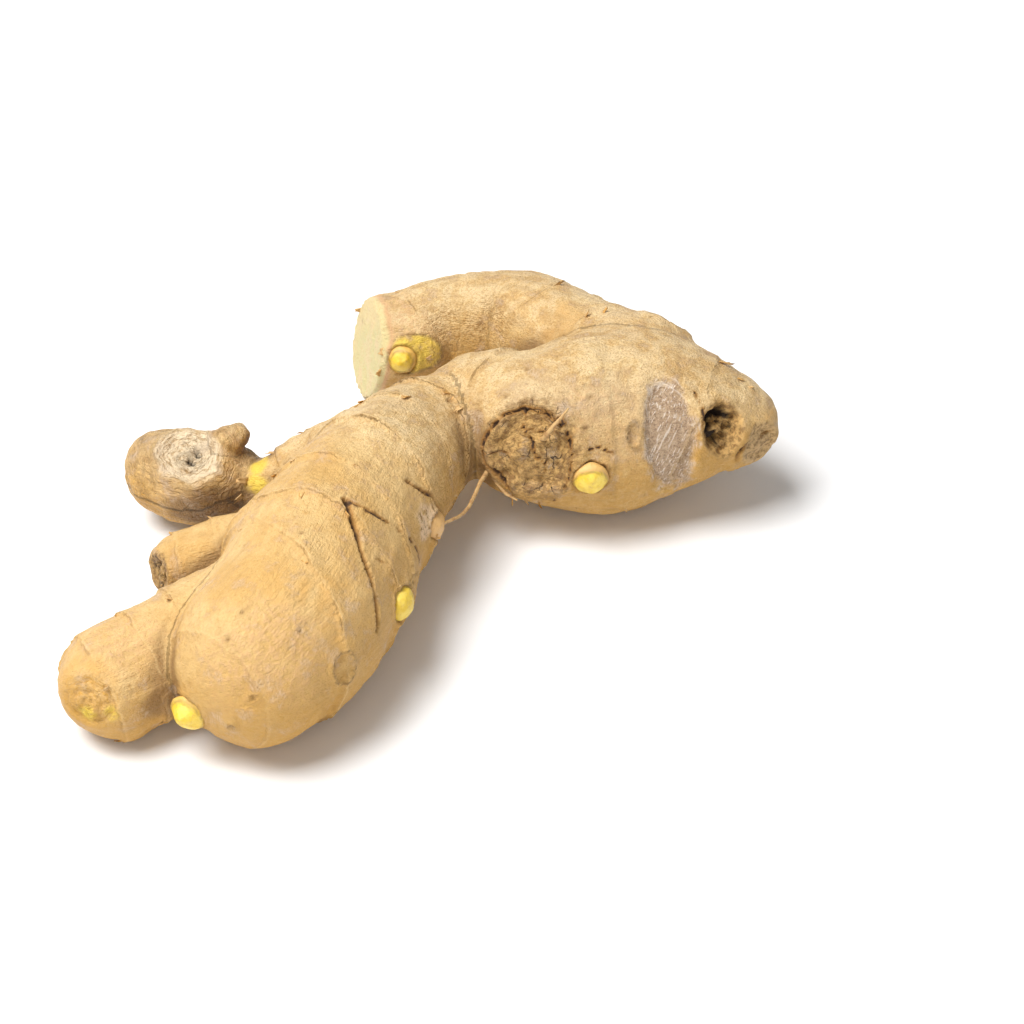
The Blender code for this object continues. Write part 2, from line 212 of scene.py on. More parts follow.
def limb_places(points, line):
    """Each point as it would lie on the straightened limb: two ways across it and one along it."""
    runs = np.diff(line[:, :3], axis=0)
    lengths = np.linalg.norm(runs, axis=1)
    begins = np.concatenate([[0], np.cumsum(lengths)])
    best = np.full(len(points), np.inf)
    places = np.zeros((len(points), 3))
    for index, (a, run) in enumerate(zip(line, runs)):
        share = np.clip((points - a[:3]) @ run / (run @ run), -0.5, 1.5)
        held = np.clip(share, 0, 1)
        off = points - a[:3] - held[:, None] * run
        distance = np.linalg.norm(off, axis=1)
        left = unit(np.cross(run, (0, 0, -1)))
        top = unit(np.cross(left, run))
        along = begins[index] + share * lengths[index]
        here = np.stack([off @ left, off @ top, along], axis=1)
        nearer = distance < best
        places[nearer] = here[nearer]
        best = np.minimum(best, distance)
    return places


def smooth_step(value, low, high):
    share = np.clip((value - low) / (high - low), 0, 1)
    return share * share * (3 - 2 * share)


# Rings where leaf scales sat, by limb: how far along it, how far the ring leans over
# towards the limb's end at its top and at its left side, and its share of the height
RINGS = {
    "main_finger": (
        (12.0, 0.55, 0.1, 0.9), (21.0, 0.45, 0.15, 0.4), (32.0, 0.4, 0.25, 1.0),
        (47.0, 0.4, 0.2, 0.7), (58.0, 0.35, 0.15, 0.8), (70.0, 0.3, 0.45, 1.0),
        (90.0, 0.1, 0.0, 0.3),
    ),
    "knuckle": ((4.0, 0.1, 0.0, 0.8), (48.0, -0.1, 0.15, 0.4), (56.0, 0.0, 0.1, 0.4)),
    "back_finger": (
        (14.0, 0.2, 0.0, 0.4), (30.0, 0.25, 0.1, 0.15), (51.0, 0.2, 0.1, 0.25),
        (62.0, 0.1, 0.0, 0.3),
    ),
    "left_toe": ((12.0, 0.2, 0.0, 0.6), (21.0, 0.1, 0.0, 0.6), (30.0, 0.0, 0.0, 0.7)),
    "side_finger": ((8.0, 0.2, 0.0, 0.5), (14.0, 0.1, 0.0, 0.6)),
    "nub": ((10.0, 0.1, 0.0, 0.5), (18.0, 0.0, 0.0, 0.7)),
}
ALL_RINGS = [(limb, *ring) for limb, rings in RINGS.items() for ring in rings]
RING_REACH = 1.7
RING_HEIGHT = 1.0
RING_RUN = 5.0
RING_DROP = 0.35
RING_CLEAR = 2.5
RING_WOBBLE = 1.0
RING_WOBBLE_SIZE = 7.0
RING_FRAY = 0.35
RING_FRAY_SIZE = 1.6

# Scars: place, the way it faces, half sizes across and up, depth of the floor, height of the
# rim, how deep the pits in its floor are, and what its floor is made of. Distances from the
# middle of a scar are shares of its half size.
SCARS = {
    "round_scar": ((18.6, -0.7, 24.0), (-0.25, -0.93, 0.25), 8.4, 9.0, 1.0, 0.9, 0.6, "cork"),
    "oval_scar": ((46.9, 2.9, 25.7), (0.28, -0.84, 0.46), 5.6, 12.3, 0.8, 0.4, 0.0, "bruise"),
    "hollow_scar": ((57.2, 6.0, 25.8), (0.36, -0.84, 0.40), 4.1, 5.6, 1.2, 0.5, 2.4, "hollow"),
    "nose_scar": ((65.6, 8.2, 19.6), (0.60, -0.79, 0.02), 3.8, 4.8, 1.0, 0.3, 0.0, "pale_cork"),
    "stub_scar": ((-50.5, 4.5, 20.8), (-0.17, -0.30, 0.94), 6.3, 5.6, 1.3, 0.7, 0.8, "fibre"),
    "nub_scar": ((-55.2, -20.4, 9.4), (-0.80, -0.55, 0.05), 3.6, 4.6, 0.3, 0.4, 0.9, "cork"),
    "halo_scar": ((-6.0, 44.7, 15.6), (0.05, -0.90, 0.42), 5.2, 3.7, -0.5, 0.3, 0.0, "yellow"),
    "toe_tip_scar": ((-63.6, -61.0, 14.0), (-0.35, -0.86, 0.30), 5.4, 4.8, 0.1, 0.3, 0.3, "coils"),
    "root_scar": ((-16.1, -58.7, 20.6), (0.84, -0.52, 0.18), 2.4, 3.0, 0.3, 0.3, 0.0, "skin"),
    "fold_scar": ((39.4, 1.6, 27.4), (0.19, -0.87, 0.46), 1.3, 2.5, 0.6, 0.5, 0.0, "skin"),
    "far_root_scar": ((-1.5, -2.0, 9.0), (0.85, 0.10, -0.50), 2.4, 2.4, 0.5, 0.5, 0.3, "cork"),
    "back_root_scar": ((30.0, 55.0, 10.0), (0.40, 0.80, -0.40), 2.2, 2.2, 0.5, 0.5, 0.3, "cork"),
    "under_root_scar": ((-34.0, -22.0, 8.0), (-0.70, 0.20, -0.70), 2.4, 2.4, 0.5, 0.5, 0.3, "cork"),
    "old_stem_scar": ((45.0, 34.0, 26.0), (0.55, 0.60, 0.58), 5.0, 5.0, 0.9, 0.7, 0.6, "cork"),
}
RIM_AT = 1.12
RIM_WIDTH = 0.22
RIM_LINE_AT = 1.1
RIM_LINE_WIDTH = 0.09
RIM_LINES = 8.0
SCAR_REACH = 7.0
SCAR_RAGGED = 0.14
RAGGED_SIZE = 2.6
FINE_RAGGED = 0.07
EVEN_SCARS = ("bruise", "yellow")
EVEN_SHARE = 0.4
TORN_SCAR = "nub_scar"
PIT_SIZE = 2.0
CRUMB_SIZE = 1.1
CREVICE_DEPTH = 1.0
CREVICE_AT = 0.62
CREVICE_WIDTH = 0.24
SWIRLS = 16.0
SWIRL_TURNS = 2.2
SWIRL_FAR = 1.2
COIL_HEIGHT = 0.30
COIL_ROUNDS = 3.0

# Cracks in the skin: depth, half width and the points that they run through
CRACKS = {
    "long_crack": (1.7, 0.36, (
        (-17.0, -29.6, 36.2), (-14.4, -35.2, 34.3), (-13.0, -39.3, 32.3),
        (-11.4, -43.6, 29.1), (-10.5, -46.8, 25.7), (-10.3, -51.0, 20.5),
    )),
    "short_crack": (0.7, 0.24, (
        (-17.0, -29.6, 36.2), (-13.1, -30.2, 34.4), (-10.1, -29.9, 32.4), (-7.5, -29.4, 29.8),
    )),
    "edge_crack": (1.3, 0.36, (
        (0.2, -15.6, 21.0), (-0.5, -15.7, 24.1), (-1.4, -16.0, 26.4), (-2.7, -16.7, 28.2),
        (-6.5, -17.9, 32.4),
    )),
    "flank_fold": (0.35, 0.20, (
        (-8.2, -29.5, 30.4), (-5.0, -28.6, 25.8), (-3.7, -27.9, 22.5), (-3.2, -29.5, 19.0),
    )),
    "flank_dash": (0.5, 0.20, ((-10.3, -38.5, 29.8), (-9.2, -38.1, 28.5), (-8.2, -37.4, 27.4))),
    "scar_rim": (1.1, 0.33, (
        (24.8, 1.6, 29.9), (21.9, 3.5, 31.6), (17.9, 4.9, 31.9), (13.8, 4.8, 30.1),
        (12.0, 4.3, 28.2), (9.5, 3.8, 23.9), (9.7, 2.8, 20.4), (12.7, 1.1, 17.5),
        (17.5, 1.4, 11.0),
    )),
    "scar_far_rim": (0.5, 0.17, (
        (23.2, 3.3, 31.6), (25.2, 2.0, 30.4), (26.4, 0.4, 28.1), (27.0, -1.1, 24.9),
        (26.6, -2.0, 21.2), (25.5, -2.0, 17.1), (23.5, -1.0, 13.1), (20.9, 1.4, 9.5),
    )),
    "scar_top": (0.7, 0.24, (
        (17.9, 4.9, 31.9), (17.1, 2.2, 28.9), (20.1, 1.2, 28.8), (23.0, 1.0, 28.9),
    )),
    "scar_middle": (0.7, 0.25, (
        (17.1, 2.2, 28.9), (19.0, 0.2, 26.7), (19.3, -0.9, 23.9), (21.9, -1.7, 21.7),
        (20.5, -1.7, 17.0),
    )),
    "scar_left": (0.5, 0.18, (
        (9.5, 3.4, 22.0), (12.5, 1.2, 23.4), (15.3, 0.1, 22.6), (19.3, -0.9, 23.9),
    )),
    "bud_fold": (0.3, 0.16, (
        (28.6, -0.9, 23.2), (29.8, -0.7, 25.4), (32.2, -0.3, 25.8), (36.5, -0.3, 23.6),
    )),
    "nose_edge": (0.9, 0.28, (
        (60.6, 7.4, 15.6), (60.6, 5.7, 19.9), (62.2, 6.5, 21.7), (64.7, 7.7, 22.3),
        (69.0, 11.0, 21.6),
    )),
    "oval_ridge": (0.35, 0.22, ((51.4, 9.2, 32.8), (53.3, 5.9, 28.8), (51.5, 2.9, 23.6))),
}
CRACK_FADE = 3.0
CRACK_FRAY = 0.25
CRACK_FRAY_SIZE = 1.4
LIP_HEIGHT = 0.2
LIP_AT = 2.2
CRACK_SPREAD = 0.8
CRACK_SPREAD_SIZE = 4.0

# Root scars the size of a pinhead that show in front; more are strewn by chance over the skin
PINHOLES = (
    (30.8, 5.9, 33.7), (2.5, 10.7, 29.6), (14.0, 7.6, 32.3), (18.1, 13.1, 35.2),
    (29.6, 1.4, 29.4), (23.9, 51.8, 28.6), (-15.0, 6.9, 32.1), (-36.6, -67.8, 14.1),
    (-32.3, -67.9, 21.3),
)
PINHOLES_STREWN = 46
PINHOLE_RIM = 0.9
PINHOLE_RIM_HEIGHT = 0.4
PINHOLE_RIM_AT = 1.1
PINHOLE_RIM_WIDTH = 0.4
PINHOLE_DEPTH = 0.45
PINHOLE_WIDTH = 0.6
PINHOLE_SEED = 5

LUMP_HEIGHT = 0.8
LUMP_SIZE = 17.0
WRINKLE_HEIGHT = 0.16
WRINKLE_ACROSS = 1.4
WRINKLE_ALONG = 8.0
DIMPLE_HEIGHT = 0.3
DIMPLE_SIZE = 4.5
PORE_HEIGHT = 0.09
PORE_SIZE = 1.3

# Up to this height over the table the skin is pressed smooth
SMOOTH_BELOW = 2.5

# The back finger is cut across here: a point of the cut and the way that it faces
CUT_AT = np.array((-16.5, 53.0, 11.0))
CUT_FACES = unit((-0.94, -0.26, 0.22))
CUT_ROUGHNESS = 0.30
CUT_FRAY = 0.7
CUT_FRAY_SIZE = 2.4
CUT_REACH = 18.0


def ring_place(line, along):
    """The middle of a ring and the way that the limb runs there."""
    steps = np.linalg.norm(np.diff(line[:, :3], axis=0), axis=1)
    ends = np.concatenate([[0], np.cumsum(steps)])
    index = max(min(np.searchsorted(ends, along), len(steps)) - 1, 0)
    run = (line[index + 1, :3] - line[index, :3]) / steps[index]
    radius = line[min(index + 1, len(line) - 1), 3]
    return line[index, :3] + (along - ends[index]) * run, run, radius


def ring_looks(points, shares):
    """The rings' relief, how far each point lies ahead of the nearest ring, and how near it is."""
    wobble = RING_WOBBLE * swell(points, RING_WOBBLE_SIZE, 3.0)
    wobble += RING_FRAY * swell(points, RING_FRAY_SIZE, 8.0)
    strength = smooth_step(swell(points, 9.0, 21.0), -0.45, 0.25)
    relief = np.zeros(len(points))
    offset = np.full(len(points), RING_CLEAR)
    nearness = np.zeros(len(points))
    for limb, along, top_lean, left_lean, height in ALL_RINGS:
        middle, run, radius = ring_place(LINES[limb], along)
        left = unit(np.cross(run, (0, 0, -1)))
        top = np.cross(left, run)
        off = points - middle
        ahead = off @ run - top_lean * (off @ top) - left_lean * (off @ left) + wobble
        near = (np.linalg.norm(off, axis=1) < RING_REACH * radius) * shares[limb]
        lip = np.where(ahead < 0, np.exp(ahead / RING_RUN), bell(ahead, RING_DROP))
        relief += RING_HEIGHT * height * lip * near * (0.55 + 0.45 * strength)
        closer = (np.abs(ahead) < np.abs(offset)) & (near > 0.5)
        offset = np.where(closer, ahead, offset)
        shown = near * (1 - smooth_step(np.abs(ahead), 0.5 * RING_CLEAR, RING_CLEAR))
        nearness = np.maximum(nearness, shown * (0.2 + 0.8 * strength * height))
    return relief, offset, nearness


def add_mask(masks, name, values):
    masks[name] = np.maximum(masks.get(name, 0), values)


def scar_looks(points):
    """The scars' relief, a mask for each thing that their floors are made of, and each point as
    it lies round the nearest scar: how far out and which way."""
    relief = np.zeros(len(points))
    closest = np.full(len(points), np.inf)
    swirls = points / SWIRL_FAR
    looks = ("cork", "pale_cork", "bruise", "hollow", "fibre", "yellow", "coils", "skin", "pit", "rim")
    masks = {name: np.zeros(len(points)) for name in looks}
    rough = SCAR_RAGGED * swell(points, RAGGED_SIZE, 31.0) + FINE_RAGGED * swell(points, 1.0, 5.0)
    pitted = smooth_step(swell(points, PIT_SIZE, 91.0), -0.3, 0.3)
    crumbs = swell(points, CRUMB_SIZE, 95.0)
    for name, (place, facing, across, up, depth, rim, pits, floor_look) in SCARS.items():
        out = unit(facing)
        side = unit(np.cross((0, 0, 1), out))
        over = np.cross(out, side)
        off = points - np.array(place)
        oval = np.hypot(off @ side / across, off @ over / up)
        oval += rough * (EVEN_SHARE if floor_look in EVEN_SCARS else 1.0)
        near = np.abs(off @ out) < SCAR_REACH
        floor = np.where(near, smooth_step(-oval, -1.05, -0.75), 0)
        edge = np.where(near, bell(oval - RIM_AT, RIM_WIDTH), 0)
        relief += rim * edge - (depth + pits * pitted) * floor
        if floor_look == "coils":
            relief += COIL_HEIGHT * floor * np.cos(math.tau * COIL_ROUNDS * oval)
        look = np.where(near, smooth_step(-oval, -1.2, -0.95), 0)
        if floor_look == "bruise":
            look = np.where(near, np.clip(RIM_AT - oval, 0, 1), 0)
        add_mask(masks, floor_look, look)
        if floor_look in ("yellow", "skin"):
            add_mask(masks, "rim", np.where(near, bell(oval - RIM_LINE_AT, RIM_LINE_WIDTH), 0))
        elif floor_look == "cork":
            lines = 0.5 + 0.5 * np.cos(math.tau * RIM_LINES * oval)
            shown = smooth_step(oval, 0.72, 0.92) * smooth_step(-oval, -1.22, -1.08)
            add_mask(masks, "rim", np.where(near, lines * shown, 0))
        deepest = np.zeros(len(points))
        if floor_look == "hollow":
            upper_left = smooth_step(off @ over / up - off @ side / across, -0.7, 0.3)
            crevice = bell(oval - CREVICE_AT, CREVICE_WIDTH) * upper_left
            deepest = smooth_step(crevice + 0.75 * crumbs, 0.38, 0.52)
        elif floor_look == "fibre":
            deepest = smooth_step(crumbs, 0.22, 0.34) * smooth_step(-oval, -0.6, -0.35)
        elif name == TORN_SCAR:
            deepest = 0.7 * smooth_step(crumbs, 0.05, 0.3)
        relief -= CREVICE_DEPTH * floor * deepest
        add_mask(masks, "pit", floor * deepest)
        turn = np.arctan2(off @ over, off @ side)
        nearer = near & (oval < closest)
        closest = np.where(nearer, oval, closest)
        turned = SWIRL_TURNS * np.stack([np.cos(turn), np.sin(turn)], axis=1)
        swirls[nearer] = np.column_stack([SWIRLS * oval, turned])[nearer]
    return relief, masks, swirls


def crack_looks(points):
    """The cracks' relief, and how far each point is inside a crack."""
    relief = np.zeros(len(points))
    inside = np.zeros(len(points))
    fray = CRACK_FRAY * swell(points, CRACK_FRAY_SIZE, 13.0)
    for depth, half_width, route in CRACKS.values():
        ends = np.array(route)
        line = np.hstack([ends, np.zeros((len(ends), 1))])
        distance = np.maximum(limb_distance(points, line) + fray, 0)
        last = np.linalg.norm(points - ends[-1], axis=1)
        fade = smooth_step(last, 0, CRACK_FADE)
        wide = half_width * (1 + CRACK_SPREAD * swell(points, CRACK_SPREAD_SIZE, 19.0))
        valley = bell(distance, wide) * fade
        lips = LIP_HEIGHT * bell(distance - LIP_AT * wide, wide) * fade
        relief += lips - depth * valley
        inside = np.maximum(inside, valley)
    return relief, inside


def pinhole_looks(points):
    """A low rim with a hole in it at each root scar, and how far each point is in a hole."""
    chance = np.random.default_rng(PINHOLE_SEED)
    strewn = points[chance.choice(len(points), PINHOLES_STREWN, replace=False)]
    relief = np.zeros(len(points))
    holes = np.zeros(len(points))
    for index, middle in enumerate([*np.array(PINHOLES), *strewn]):
        wide = PINHOLE_RIM if index < len(PINHOLES) else PINHOLE_RIM * chance.uniform(0.45, 1.0)
        near = np.nonzero(np.abs(points - middle).max(axis=1) < 3 * wide)[0]
        away = np.linalg.norm(points[near] - middle, axis=1) / wide
        hole = bell(away, PINHOLE_WIDTH)
        ridge = bell(away - PINHOLE_RIM_AT, PINHOLE_RIM_WIDTH)
        relief[near] += wide * (PINHOLE_RIM_HEIGHT * ridge - PINHOLE_DEPTH * hole)
        holes[near] = np.maximum(holes[near], hole)
    return relief, holes


COLLAR_GAP = 0.7
COLLAR_WIDTH = 0.6
COLLAR_HEIGHT = 0.55
GROOVE_DEPTH = 0.5
GROOVE_WIDTH = 0.45
COLLAR_RAGGED = 0.4
BUD_SEAT_DEPTH = 1.8


def collar_looks(points):
    """The raised skin round each bud, the groove inside it and the seat under the bud, and how
    far each point is in a groove."""
    relief = np.zeros(len(points))
    groove = np.zeros(len(points))
    ragged = COLLAR_RAGGED * swell(points, 1.8, 81.0)
    for place, way, radius, _ in BUDS.values():
        out = unit(way)
        off = points - np.array(place)
        deep = off @ out
        around = np.linalg.norm(off - deep[:, None] * out, axis=1) - radius + ragged
        near = bell(deep, 0.8 * radius)
        sunk = bell(around, GROOVE_WIDTH) * near
        relief += COLLAR_HEIGHT * bell(around - COLLAR_GAP, COLLAR_WIDTH) * near
        relief -= GROOVE_DEPTH * sunk
        relief -= BUD_SEAT_DEPTH * smooth_step(-around, 0.0, 0.8) * near
        groove = np.maximum(groove, sunk)
    return relief, groove


# The skin is smoother from wear towards the end of the main finger, and its colour there is also
# darkened with painted shade that tones down the light on that end: which way, and from where to where
# along it
WORN_TOWARDS = unit((-0.455, -0.89, 0.0))
WORN_FROM = 6.0
WORN_TO = 24.0

# Painted shade: the hollows between limbs are darkened in colour. How far out from the skin the hollows
# are felt for
CREASE_SHADE_REACHES = (2.5, 7.0)

# Patches of other colour in the skin, by the attribute that holds them: x, y, z and radius
PATCHES = {
    "warm": (
        (25.0, 34.8, 28.2, 5.0), (27.1, 38.9, 30.3, 5.0), (63.0, 9.0, 19.0, 10.0),
        (54.0, 3.0, 17.0, 8.0), (-64.0, -59.0, 15.0, 7.5), (-26.0, -50.0, 33.0, 6.0),
        (-18.0, -52.0, 28.0, 7.0), (52.0, 32.5, 19.0, 5.0), (-0.8, -18.6, 19.0, 4.0),
        (-47.0, -61.0, 14.0, 6.0),
    ),
    "pink": (
        (-11.0, 50.0, 18.0, 10.0), (-30.0, -62.0, 24.0, 15.0), (-58.0, -52.0, 20.0, 9.0),
        (31.0, 3.0, 31.0, 9.0), (38.0, -1.0, 20.0, 8.0), (-46.0, 7.0, 20.0, 9.0),
        (-42.0, 8.5, 21.0, 4.0),
    ),
    "yellow": (
        (-64.4, -61.6, 11.6, 2.3), (-59.6, -62.6, 12.6, 1.7), (-36.4, 0.3, 15.5, 3.4),
        (-35.6, 3.4, 17.4, 2.8),
    ),
    "scab": ((-1.9, -20.4, 23.4, 4.6),),
    "ribbed": ((10.3, 46.5, 19.5, 9.0), (1.5, 48.5, 19.0, 7.0)),
    "grey": ((20.0, 5.0, 33.0, 10.0), (36.0, 5.0, 30.0, 10.0), (-52.0, 8.0, 12.0, 15.0)),
}


def patch_masks(points):
    masks = {}
    ragged = 0.35 * swell(points, 3.0, 17.0)
    for name, spots in PATCHES.items():
        for *place, radius in spots:
            distance = np.linalg.norm(points - np.array(place), axis=1) / radius + ragged
            add_mask(masks, name, smooth_step(-distance, -1.0, -0.55))
    return masks


def applied(thing):
    """Replaces the object's mesh with the mesh that its modifiers make."""
    graph = bpy.context.evaluated_depsgraph_get()
    shaped = bpy.data.meshes.new_from_object(thing.evaluated_get(graph))
    old = thing.data
    thing.modifiers.clear()
    thing.data = shaped
    bpy.data.meshes.remove(old)


def new_piece(shape, name):
    """Turns a finished bmesh into an object that rides on the rhizome."""
    mesh = bpy.data.meshes.new(name)
    shape.to_mesh(mesh)
    shape.free()
    mesh.shade_smooth()
    thing = bpy.data.objects.new(name, mesh)
    bpy.context.collection.objects.link(thing)
    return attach(thing, "root")


copied = bmesh.new()
copied.from_mesh(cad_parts["ginger_rhizome"].data)
bmesh.ops.remove_doubles(copied, verts=copied.verts, dist=0.01 * MM)
body = new_piece(copied, "rhizome_body")
one_skin = body.modifiers.new("One skin", "REMESH")
one_skin.mode = "VOXEL"
one_skin.voxel_size = SKIN_CELL * MM
applied(body)

corners = np.empty(len(body.data.vertices) * 3)
body.data.vertices.foreach_get("co", corners)
points = corners.reshape(-1, 3) / MM - DRAWN_AT
past_cut = (points - CUT_AT) @ CUT_FACES
near_cut = np.linalg.norm(points - CUT_AT, axis=1) < CUT_REACH
past_cut_before = past_cut + CUT_FRAY * swell(points, CUT_FRAY_SIZE, 57.0)
on_cut = smooth_step(past_cut_before, -0.9, -0.3) * near_cut
skin_share = 1 - on_cut
points = settle_on_skin(points, skin_share)
facing = slope(points)
facing /= np.maximum(np.linalg.norm(facing, axis=1), 0.001)[:, None]
crease_shade = [1 - np.clip(body_distance(points + reach * facing) / reach, 0, 1) for reach in CREASE_SHADE_REACHES]

distances = {name: limb_distance(points, line) for name, line in LINES.items()}
shares = {}
straight = np.zeros((len(points), 3))
wrinkled = np.zeros(len(points))
nearest = np.min(list(distances.values()), axis=0)
for name, line in LINES.items():
    others = np.min([d for other, d in distances.items() if other != name], axis=0)
    shares[name] = np.clip(0.5 + (others - distances[name]) / 3.0, 0, 1)
    own = distances[name] <= nearest
    straight[own] = limb_places(points[own], line)
    wrinkled += LIMBS[name][2] * shares[name]

ring_relief, ring_offset, ring_near = ring_looks(points, shares)
scar_relief, masks, swirls = scar_looks(points)
crack_relief, masks["crack"] = crack_looks(points)
for name, values in patch_masks(points).items():
    add_mask(masks, name, values)
pinhole_relief, masks["pinhole"] = pinhole_looks(points)
squeezed = straight / np.array((WRINKLE_ACROSS, WRINKLE_ACROSS, WRINKLE_ALONG))
relief = LUMP_HEIGHT * swell(points, LUMP_SIZE)
collar_relief, masks["groove"] = collar_looks(points)
relief += ring_relief + scar_relief + crack_relief + collar_relief + pinhole_relief
wrinkle = wrinkled * swell(squeezed, 1.0, 41.0)
relief += WRINKLE_HEIGHT * wrinkle
# Painted shade: the troughs of the wrinkles are darkened in colour.
masks["trough"] = np.clip(-wrinkle, 0, 1)
# Painted shade: the creases and hollows between limbs are darkened in colour.
masks["crease"] = smooth_step(np.maximum(*crease_shade), 0.06, 0.6)
# Painted shade: the skin turns a darker golden brown where it faces down or sideways.
masks["low_side"] = 1 - smooth_step(facing[:, 2] + 0.3 * swell(points, 7.0, 27.0), -0.3, 0.8)
relief += DIMPLE_HEIGHT * swell(points, DIMPLE_SIZE, 51.0)
relief += PORE_HEIGHT * swell(points, PORE_SIZE, 61.0)
relief *= skin_share * np.clip(points[:, 2] / SMOOTH_BELOW, 0, 1)
points = points + facing * relief[:, None]
past_cut = (points - CUT_AT) @ CUT_FACES * near_cut
points -= CUT_FACES * np.maximum(past_cut, 0)[:, None]
points -= CUT_FACES * (on_cut * CUT_ROUGHNESS * (0.5 + swell(points, 1.4, 71.0)))[:, None]
points[:, 2] = np.maximum(points[:, 2], 0)
masks["flesh"] = smooth_step(past_cut_before, -3.2, -0.1) * near_cut
masks["withered"] = np.maximum(shares["dried_stub"], shares["stub_knob"])
masks["worn"] = smooth_step(points @ WORN_TOWARDS, WORN_FROM, WORN_TO)
# Painted light: the skin is paler where it faces up.
masks["pale_top"] = smooth_step(facing[:, 2], 0.1, 0.9) * (1 - masks["worn"])
masks["ring_offset"] = ring_offset
masks["ring_near"] = ring_near * skin_share

body.data.vertices.foreach_set("co", ((points + DRAWN_AT) * MM).ravel())
for name, values in masks.items():
    body.data.attributes.new(name, "FLOAT", "POINT").data.foreach_set("value", values)
for name, values in (("limb_place", straight), ("scar_place", swirls)):
    body.data.attributes.new(name, "FLOAT_VECTOR", "POINT").data.foreach_set("vector", values.ravel())
body.data.update()
body.data.shade_smooth()
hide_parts("ginger_rhizome")


def attribute(tree, name, output="Fac"):
    node = tree.nodes.new("ShaderNodeAttribute")
    node.attribute_name = name
    return node.outputs[output]


def object_place(tree):
    return tree.nodes.new("ShaderNodeTexCoord").outputs["Object"]


def speckle(place, scale, detail=3.0, roughness=0.55):
    """Noise between 0 and 1; the scale is how many of its lumps there are in a unit of the place."""
    node = place.id_data.nodes.new("ShaderNodeTexNoise")
    node.inputs["Scale"].default_value = scale
    node.inputs["Detail"].default_value = detail
    node.inputs["Roughness"].default_value = roughness
    feed(place, node.inputs["Vector"])
    return node.outputs["Fac"]


def stretched(place, size, turn=(0.0, 0.0, 0.0)):
    """The place measured in lumps of that size, turned so that long lumps run along the turn."""
    node = place.id_data.nodes.new("ShaderNodeMapping")
    node.vector_type = "TEXTURE"
    node.inputs["Scale"].default_value = size
    node.inputs["Rotation"].default_value = turn
    feed(place, node.inputs["Vector"])
    return node.outputs["Vector"]


def feed(source, socket):
    """Links an output to a socket, or sets the socket where the source is a plain value."""
    if isinstance(source, bpy.types.NodeSocket):
        socket.id_data.links.new(source, socket)
    else:
        socket.default_value = (*source, 1) if isinstance(source, tuple) else source


def between(value, low, high, least=0.0, most=1.0):
    """Spreads the values from low to high over the values from least to most."""
    node = value.id_data.nodes.new("ShaderNodeMapRange")
    node.interpolation_type = "SMOOTHSTEP"
    feed(low, node.inputs["From Min"])
    feed(high, node.inputs["From Max"])
    node.inputs["To Min"].default_value = least
    node.inputs["To Max"].default_value = most
    feed(value, node.inputs["Value"])
    return node.outputs["Result"]


def sum_of(first, second, operation="ADD"):
    linked = first if isinstance(first, bpy.types.NodeSocket) else second
    node = linked.id_data.nodes.new("ShaderNodeMath")
    node.operation = operation
    feed(first, node.inputs[0])
    feed(second, node.inputs[1])
    return node.outputs["Value"]


def product(first, second):
    return sum_of(first, second, "MULTIPLY")


def tinted(share, first, second):
    """The first colour, gone over to the second by the share."""
    node = share.id_data.nodes.new("ShaderNodeMix")
    node.data_type = "RGBA"
    feed(share, node.inputs["Factor"])
    feed(first, node.inputs["A"])
    feed(second, node.inputs["B"])
    return node.outputs["Result"]


def new_material(name, roughness, specular):
    material = bpy.data.materials.new(name)
    material.use_nodes = True
    shader = material.node_tree.nodes["Principled BSDF"]
    shader.inputs["Roughness"].default_value = roughness
    shader.inputs["Specular IOR Level"].default_value = specular
    return material, material.node_tree, shader


def grain_group():
    """Dry plant skin seen close: darker specks in its colour and a fine uneven surface."""
    group = bpy.data.node_groups.new("dry_grain", "ShaderNodeTree")
    kinds = {
        "Place": "NodeSocketVector",
        "Scale": "NodeSocketFloat",
        "Base": "NodeSocketColor",
        "Speck": "NodeSocketColor",
        "Specks From": "NodeSocketFloat",
        "Specks To": "NodeSocketFloat",
        "Depth": "NodeSocketFloat",
    }
    for name, kind in kinds.items():
        group.interface.new_socket(name=name, in_out="INPUT", socket_type=kind)
    group.interface.new_socket(name="Color", in_out="OUTPUT", socket_type="NodeSocketColor")
    group.interface.new_socket(name="Grain", in_out="OUTPUT", socket_type="NodeSocketFloat")
    group.interface.new_socket(name="Normal", in_out="OUTPUT", socket_type="NodeSocketVector")
    given = group.nodes.new("NodeGroupInput").outputs
    made = group.nodes.new("NodeGroupOutput").inputs
    lumps = group.nodes.new("ShaderNodeTexNoise")
    lumps.inputs["Detail"].default_value = 5.0
    lumps.inputs["Roughness"].default_value = 0.68
    group.links.new(given["Place"], lumps.inputs["Vector"])
    group.links.new(given["Scale"], lumps.inputs["Scale"])
    grain = lumps.outputs["Fac"]
    specks = between(grain, given["Specks From"], given["Specks To"])
    bump = group.nodes.new("ShaderNodeBump")
    group.links.new(given["Depth"], bump.inputs["Distance"])
    group.links.new(grain, bump.inputs["Height"])
    group.links.new(tinted(specks, given["Base"], given["Speck"]), made["Color"])
    group.links.new(grain, made["Grain"])
    group.links.new(bump.outputs["Normal"], made["Normal"])
    return group


DRY_GRAIN = grain_group()


def grainy(place, scale, base, speck, low, high, depth=0.0):
    """The colour, the grain and the surface normal of dry skin."""
    node = place.id_data.nodes.new("ShaderNodeGroup")
    node.node_tree = DRY_GRAIN
    wanted = (place, scale, base, speck, low, high, depth)
    for value, socket in zip(wanted, node.inputs):
        feed(value, socket)
    return node.outputs["Color"], node.outputs["Grain"], node.outputs["Normal"]


def patch(tree, name, share, pattern=1.0):
    """The mask of that name, weakened to the share and broken up by the pattern."""
    return product(product(attribute(tree, name), share), pattern)


